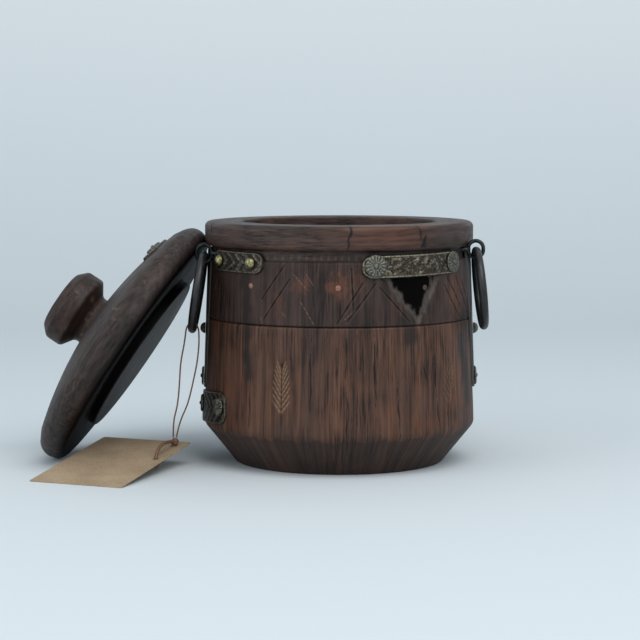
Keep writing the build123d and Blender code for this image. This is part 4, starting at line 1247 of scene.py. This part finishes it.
class CANISTER_OT_stage(bpy.types.Operator):
    """Make the camera, the pale sweep, the lamps and the world"""

    bl_idname = "canister.stage"
    bl_label = "Stage and camera"

    def execute(self, context):
        sizes = context.scene.canister
        data = bpy.data.cameras.new("camera")
        data.lens = CAMERA_LENS
        data.sensor_width = CAMERA_SENSOR
        data.clip_end = CAMERA_FAR
        camera = show("camera", data)
        camera.location = Vector(CAMERA_PLACE) * MM
        camera.rotation_euler = Euler((math.radians(90 - CAMERA_PITCH), 0, 0))
        context.scene.camera = camera
        make_stage(sizes)
        add_lamp("key", (500, -1000, 1500), (0, 0, 60), 1.4, sizes.key_power, (1.0, 0.99, 0.98))
        add_lamp("fill", (-1300, -900, 700), (0, 0, 80), 1.2, sizes.fill_power, (0.95, 0.97, 1.0))
        world = bpy.data.worlds.new("soft room")
        world.use_nodes = True
        glow = world.node_tree.nodes["Background"].inputs
        glow[0].default_value = linear("#dfe7ec")
        glow[1].default_value = WORLD_STRENGTH
        context.scene.world = world
        context.scene.view_settings.view_transform = "Standard"
        return {"FINISHED"}


class CANISTER_OT_pot(bpy.types.Operator):
    """Make the turned pot with its carving, and the pegs in its band"""

    bl_idname = "canister.pot"
    bl_label = "Pot and pegs"

    def execute(self, context):
        sizes = context.scene.canister
        MATERIALS.update(make_materials())
        make_wall(sizes, MATERIALS["body"])
        make_carved_band(sizes, MATERIALS["band"])
        make_rim(MATERIALS["rim"])
        make_pegs(MATERIALS["peg"])
        return {"FINISHED"}


class CANISTER_OT_bands(bpy.types.Operator):
    """Make the metal bands and patches on the pot"""

    bl_idname = "canister.bands"
    bl_label = "Metal bands"

    def execute(self, context):
        sizes = context.scene.canister
        pewter, dark = MATERIALS["pewter"], MATERIALS["dark"]
        make_band("right_band_plate", RIGHT_BAND, "hammered", sizes, pewter, "pewter", "front_right_band")
        make_band("left_band_plate", LEFT_BAND, "leafy", sizes, dark, "dark_metal", "front_left_band")
        make_band("low_patch_plate", LOW_PATCH, "leafy", sizes, dark, "dark_metal", "low_left_patch")
        return {"FINISHED"}


class CANISTER_OT_straps(bpy.types.Operator):
    """Make the two leather side straps"""

    bl_idname = "canister.straps"
    bl_label = "Leather straps"

    def execute(self, context):
        make_strap("left_strap_leather", LEFT_STRAP, MATERIALS["leather"], "left_side_strap")
        make_strap("right_strap_leather", RIGHT_STRAP, MATERIALS["leather"], "right_side_strap")
        return {"FINISHED"}


class CANISTER_OT_nails(bpy.types.Operator):
    """Make the flower and dome nail heads on the pot"""

    bl_idname = "canister.nails"
    bl_label = "Nail heads"

    def execute(self, context):
        on_band = BAND_THICKNESS + 2 * SEAT
        on_strap = STRAP_THICKNESS + 2 * SEAT
        straps = (LEFT_STRAP, RIGHT_STRAP)
        domes = [(strap_centre(*strap, STRAP_NAIL_HEIGHT), STRAP_NAIL_HEIGHT) for strap in straps]
        feet = [(strap_centre(*strap, STRAP_ROSETTE_HEIGHT), STRAP_ROSETTE_HEIGHT) for strap in straps]
        groups = (
            ("right_band_flowers", RIGHT_BAND_NAILS, on_band, BAND_ROSETTE, "flower", "right_band_rosettes"),
            ("left_band_domes", LEFT_BAND_NAILS, on_band, 0, "brass", "left_band_dome_nails"),
            ("low_patch_flowers", LOW_PATCH_NAILS, on_band, PATCH_ROSETTE, "flower", "low_patch_rosettes"),
            ("strap_domes", domes, on_strap, 0, "flower", "strap_dome_nails"),
            ("strap_foot_flowers", feet, on_strap, STRAP_ROSETTE, "flower", "strap_foot_rosettes"),
        )
        for name, places, proud, radius, finish, node in groups:
            bases = [wall_frame(azimuth, height, proud) for azimuth, height in places]
            make_nails(name, bases, radius, MATERIALS[finish], "pot", node)
        return {"FINISHED"}


class CANISTER_OT_pulls(bpy.types.Operator):
    """Make the wire eyes and the ring pulls"""

    bl_idname = "canister.pulls"
    bl_label = "Eyes and rings"

    def execute(self, context):
        for side in ("left", "right"):
            make_eye(f"{side}_eye_wire", side, MATERIALS["eye"], f"{side}_eye")
            make_ring(f"{side}_ring_iron", side, f"{side}_pull", MATERIALS["ring"], f"{side}_ring")
        return {"FINISHED"}


class CANISTER_OT_lid(bpy.types.Operator):
    """Make the leaning lid, its knob and its small patch"""

    bl_idname = "canister.lid"
    bl_label = "Lid and knob"

    def execute(self, context):
        sizes = context.scene.canister
        make_lid(MATERIALS["lid"])
        make_knob(MATERIALS["knob"])
        make_lid_patch(sizes, MATERIALS["dark"])
        base = lid_patch_frame(BAND_THICKNESS + 2 * SEAT)
        make_nails("lid_flower", [base], LID_ROSETTE, MATERIALS["flower"], "lid", "lid_rosette")
        set_finish(frame["nodes"]["knob_dowel"], MATERIALS["peg"])
        return {"FINISHED"}


class CANISTER_OT_tag(bpy.types.Operator):
    """Finish the card tag and make its twine and knots"""

    bl_idname = "canister.tag"
    bl_label = "Tag and twine"

    def execute(self, context):
        set_finish(frame["nodes"]["tag"], MATERIALS["card"])
        twine = MATERIALS["twine"]
        join = make_knot("join_knot_turns", JOIN_KNOT, JOIN_KNOT_RADIUS, twine, "join_knot")
        stop = make_knot("stop_knot_turns", STOP_KNOT, STOP_KNOT_RADIUS, twine, "stop_knot")
        loop, line = make_twine("twine_loop", TWINE_ROUTE, TWINE_DIAMETER, "tag_twine", twine, 1.7)
        tail = make_twine("twine_tail_cord", TAIL_ROUTE, TAIL_DIAMETER, "twine_tail", twine, 0.9)[0]
        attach(tail, "pot")
        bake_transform(loop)
        return {"FINISHED"}


class CANISTER_PT_panel(bpy.types.Panel):
    """Sidebar panel with the settings and one button for each step"""

    bl_label = "Canister"
    bl_idname = "CANISTER_PT_panel"
    bl_space_type = "VIEW_3D"
    bl_region_type = "UI"
    bl_category = "Canister"

    def draw(self, context):
        for name in CanisterSettings.__annotations__:
            self.layout.prop(context.scene.canister, name)
        for operator in OPERATORS:
            self.layout.operator(operator.bl_idname)


OPERATORS = (
    CANISTER_OT_stage, CANISTER_OT_pot, CANISTER_OT_bands, CANISTER_OT_straps, CANISTER_OT_nails,
    CANISTER_OT_pulls, CANISTER_OT_lid, CANISTER_OT_tag,
)
CLASSES = (CanisterSettings, *OPERATORS, CANISTER_PT_panel)


def register():
    """Register the classes and hang the settings on the scene."""
    for item in CLASSES:
        bpy.utils.register_class(item)
    bpy.types.Scene.canister = PointerProperty(type=CanisterSettings)


def unregister():
    """Take the settings off the scene and unregister the classes."""
    del bpy.types.Scene.canister
    for item in reversed(CLASSES):
        bpy.utils.unregister_class(item)


def main():
    """Run every step in order."""
    register()
    bpy.ops.canister.stage()
    bpy.ops.canister.pot()
    bpy.ops.canister.bands()
    bpy.ops.canister.straps()
    bpy.ops.canister.nails()
    bpy.ops.canister.pulls()
    bpy.ops.canister.lid()
    bpy.ops.canister.tag()


if __name__ == "__main__":
    main()
